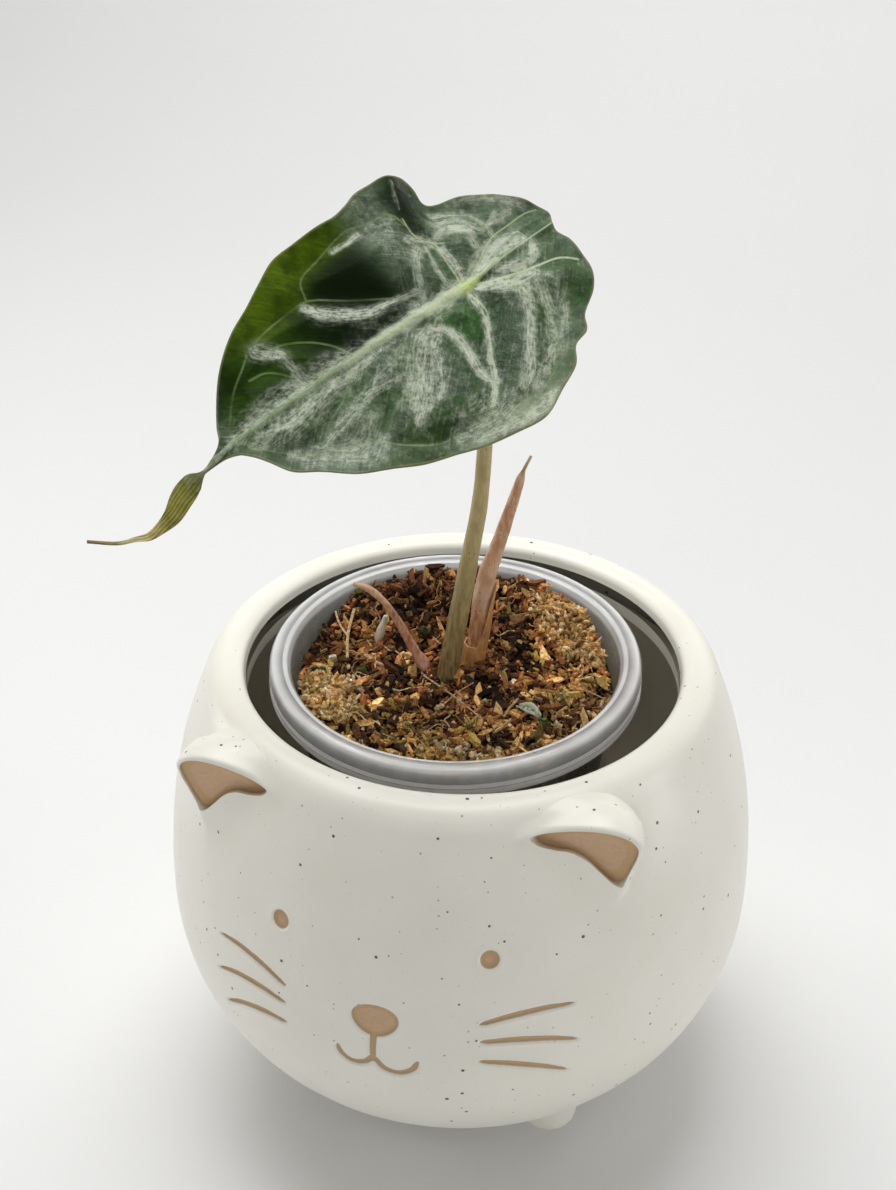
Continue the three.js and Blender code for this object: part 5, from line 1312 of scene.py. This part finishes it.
def stems():
    # The petiole lightens from its foot upwards, partly painted light from above
    stem_piece("petiole_fine", "petiole", PETIOLE,
               [(0, 2.6), (0.1, 2.75), (0.5, 2.05), (0.7, 1.75), (0.92, 1.6), (0.97, 1.8), (1, 2.1)],
               [(0, srgb(72, 56, 32)), (0.15, srgb(104, 86, 50)), (0.4, srgb(170, 156, 102)),
                (1, srgb(198, 190, 140))],
               stalk_look("petiole", srgb(150, 138, 88), srgb(206, 192, 142), srgb(96, 72, 52), streaky=0.4),
               160, 28, 0.08, 1)
    stem_piece("new_leaf_fine", "new_leaf", NEW_LEAF, NEW_LEAF_RADII,
               [(0, srgb(150, 92, 46)), (0.3, srgb(184, 118, 60)), (0.37, srgb(196, 136, 82)),
                (0.43, srgb(230, 196, 166)), (0.6, srgb(212, 166, 132)), (0.9, srgb(176, 122, 86)),
                (0.93, srgb(138, 134, 86)), (1, srgb(150, 146, 94))],
               stalk_look("new_leaf", srgb(178, 120, 82), srgb(230, 198, 168), srgb(128, 78, 58),
                          streaky=0.8),
               140, 28, 0.25, 4)
    stem_piece("old_petiole_fine", "old_petiole", OLD_PETIOLE,
               [(0, 1.5), (0.15, 2.1), (0.24, 2), (0.34, 1.2), (0.6, 1), (0.9, 0.85), (1, 0.6)],
               [(0, srgb(206, 150, 128)), (0.26, srgb(216, 156, 134)), (0.36, srgb(190, 116, 88)),
                (0.7, srgb(186, 120, 90)), (0.88, srgb(206, 176, 124)), (1, srgb(222, 206, 160))],
               stalk_look("old_petiole", srgb(168, 104, 78), srgb(224, 178, 150), srgb(120, 74, 56)),
               110, 20, 0.35, 9)
    stem_piece("bract_fine", "dry_bract", BRACT, [(0, 0.8), (0.45, 1.2), (0.8, 1.1), (1, 0.5)],
               [(0, srgb(190, 176, 144)), (1, srgb(216, 208, 184))],
               stalk_look("bract", srgb(176, 160, 128), srgb(226, 220, 200), srgb(140, 116, 84),
                          roughness=0.7),
               50, 16, 0.4, 12)


def sheath():
    """A creased cone round the new leaf's foot, whose mouth rises to a point at the right."""
    rows, sides = 60, 72
    angle = round_angles(sides)
    t = np.linspace(0, 1, rows)[:, None]
    reach = 0.5 * (0.5 + 0.5 * np.maximum(0, np.cos(angle)) ** 1.5)
    s = 0.02 + (reach - 0.02) * t
    centre = Curve(NEW_LEAF).even(s)
    side, ahead = np.array([0.96, 0.27, 0]), np.array([-0.27, 0.96, 0])
    out = np.cos(angle)[:, None] * side + np.sin(angle)[:, None] * ahead
    radius = np.interp(s, *np.transpose(NEW_LEAF_RADII)) + 0.35
    crumple = soft_noise(6 * t + 3, 4 + 3 * np.cos(angle) + 0 * t, 21) - 0.5
    crease = 0.12 * np.sin(9 * angle + 4 * t) * t + 0.2 * crumple
    wall = 0.5 * (1 - 0.6 * t ** 3)
    inner = centre + (radius + 0.1 + crease * 0.5)[..., None] * out
    outer = centre + (radius + 0.15 + wall + crease)[..., None] * out
    tint = ramp(t[:, 0], [0, 0.4, 0.85, 1],
                [srgb(158, 106, 60), srgb(206, 144, 82), srgb(198, 134, 76), srgb(218, 174, 114)])
    # Painted shade: the inside of the sheath takes a darker copy of the tints
    tint = np.repeat(np.vstack([tint, tint[::-1] * 0.7]), sides, 0)
    piece = Piece()
    piece.add(np.concatenate([outer, inner[::-1]]), grid_faces(2 * rows, sides, True), tint=tint)
    look = stalk_look("dry_sheath", srgb(132, 84, 50), srgb(216, 164, 104), srgb(80, 50, 36), roughness=0.6)
    piece.build("sheath_fine", look, "sheath")


# Stage, light and camera

# Lamps: place and aim, size and power
LAMPS = {"key": ((-140, 150, 900), (-20, 0, 110), (680, 620), 6.6),
         "left": ((-650, 40, 68), (0, 0, 66), (520, 130), 1.1),
         "right": ((650, 40, 68), (0, 0, 66), (520, 130), 1.2),
         "front": ((120, -900, 600), (0, 0, 60), (800, 500), 1.8),
         "back": ((0, 1020, 520), (0, 900, 0), (1800, 240), 3.0)}
# The photo's camera: its focal length and the photo's height in pixels, its place and its directions
FOCAL, PHOTO_HEIGHT, SENSOR = 2000, 1190, 36
CAMERA_PLACE = (105.1, -403.5, 404.9)
CAMERA_RIGHT, CAMERA_UP = (0.964, 0.2659, 0.0077), (-0.1484, 0.5135, 0.8452)
CAMERA_AHEAD = (-0.2207, 0.8159, -0.5344)
ROOM_COLOR, ROOM_STRENGTH = (1.0, 1.0, 0.985, 1), 0.17
# How the floor runs up into the backdrop: distance back and height
BACKDROP = [(-4000, 0), (600, 0), (760, 12), (900, 60), (1010, 150), (1070, 280), (1090, 450), (1090, 1600)]
BACKDROP_REACH = 4000


def stage():
    rows = Curve(BACKDROP).points_at(60)
    x = np.linspace(-BACKDROP_REACH, BACKDROP_REACH, 9)
    grid = np.stack(np.broadcast_arrays(x[None], rows[:, :1], rows[:, 1:]), -1)
    mesh = bpy.data.meshes.new("floor")
    mesh.from_pydata((grid.reshape(-1, 3) * MM).tolist(), [], grid_faces(len(rows), len(x)).tolist())
    mesh.polygons.foreach_set("use_smooth", np.ones(len(mesh.polygons), bool))
    look = Look("paper", roughness=0.75, specular=0.2)
    look.set(color=look.mix(look.noise(300, 1), srgb(236, 236, 235), srgb(233, 233, 232)))
    mesh.materials.append(look.material)
    floor = bpy.data.objects.new("floor", mesh)
    bpy.context.scene.collection.objects.link(floor)


def area(name, place, target, size, power):
    light = bpy.data.lights.new(name, "AREA")
    light.shape, light.size, light.size_y = "RECTANGLE", size[0] * MM, size[1] * MM
    light.energy = power
    lamp = bpy.data.objects.new(name, light)
    z = unit(np.array(place, float) - target)
    x = unit(np.cross([0, 1, 0.01], z))
    y = np.cross(z, x)
    lamp.matrix_world = at_place(np.stack([x, y, z], 1).tolist(), place)
    lamp.visible_camera = False
    bpy.context.scene.collection.objects.link(lamp)


def at_place(turn, place):
    """Matrix of a turn, by its rows, and a place in mm."""
    return Matrix([(*row, p * MM) for row, p in zip(turn, place)] + [(0, 0, 0, 1)])


def light_and_camera():
    scene = bpy.context.scene
    world = bpy.data.worlds.new("room")
    scene.world = world
    world.use_nodes = True
    background = world.node_tree.nodes["Background"]
    background.inputs[0].default_value = ROOM_COLOR
    background.inputs[1].default_value = ROOM_STRENGTH
    for name, lamp in LAMPS.items():
        area(name, *lamp)
    scene.view_settings.view_transform = "Standard"
    camera = bpy.data.cameras.new("camera")
    camera.lens, camera.sensor_width, camera.sensor_fit = FOCAL * SENSOR / PHOTO_HEIGHT, SENSOR, "AUTO"
    camera.clip_start, camera.clip_end = 0.01, 20
    eye = bpy.data.objects.new("camera", camera)
    turn = [(right, up, -ahead) for right, up, ahead in zip(CAMERA_RIGHT, CAMERA_UP, CAMERA_AHEAD)]
    eye.matrix_world = at_place(turn, CAMERA_PLACE)
    scene.collection.objects.link(eye)
    scene.camera = eye


planter()
cup()
growing_mix()
for clump in MOSS:
    moss(*clump)
leaf_scrap()
leaf_blade()
stems()
sheath()
stage()
light_and_camera()
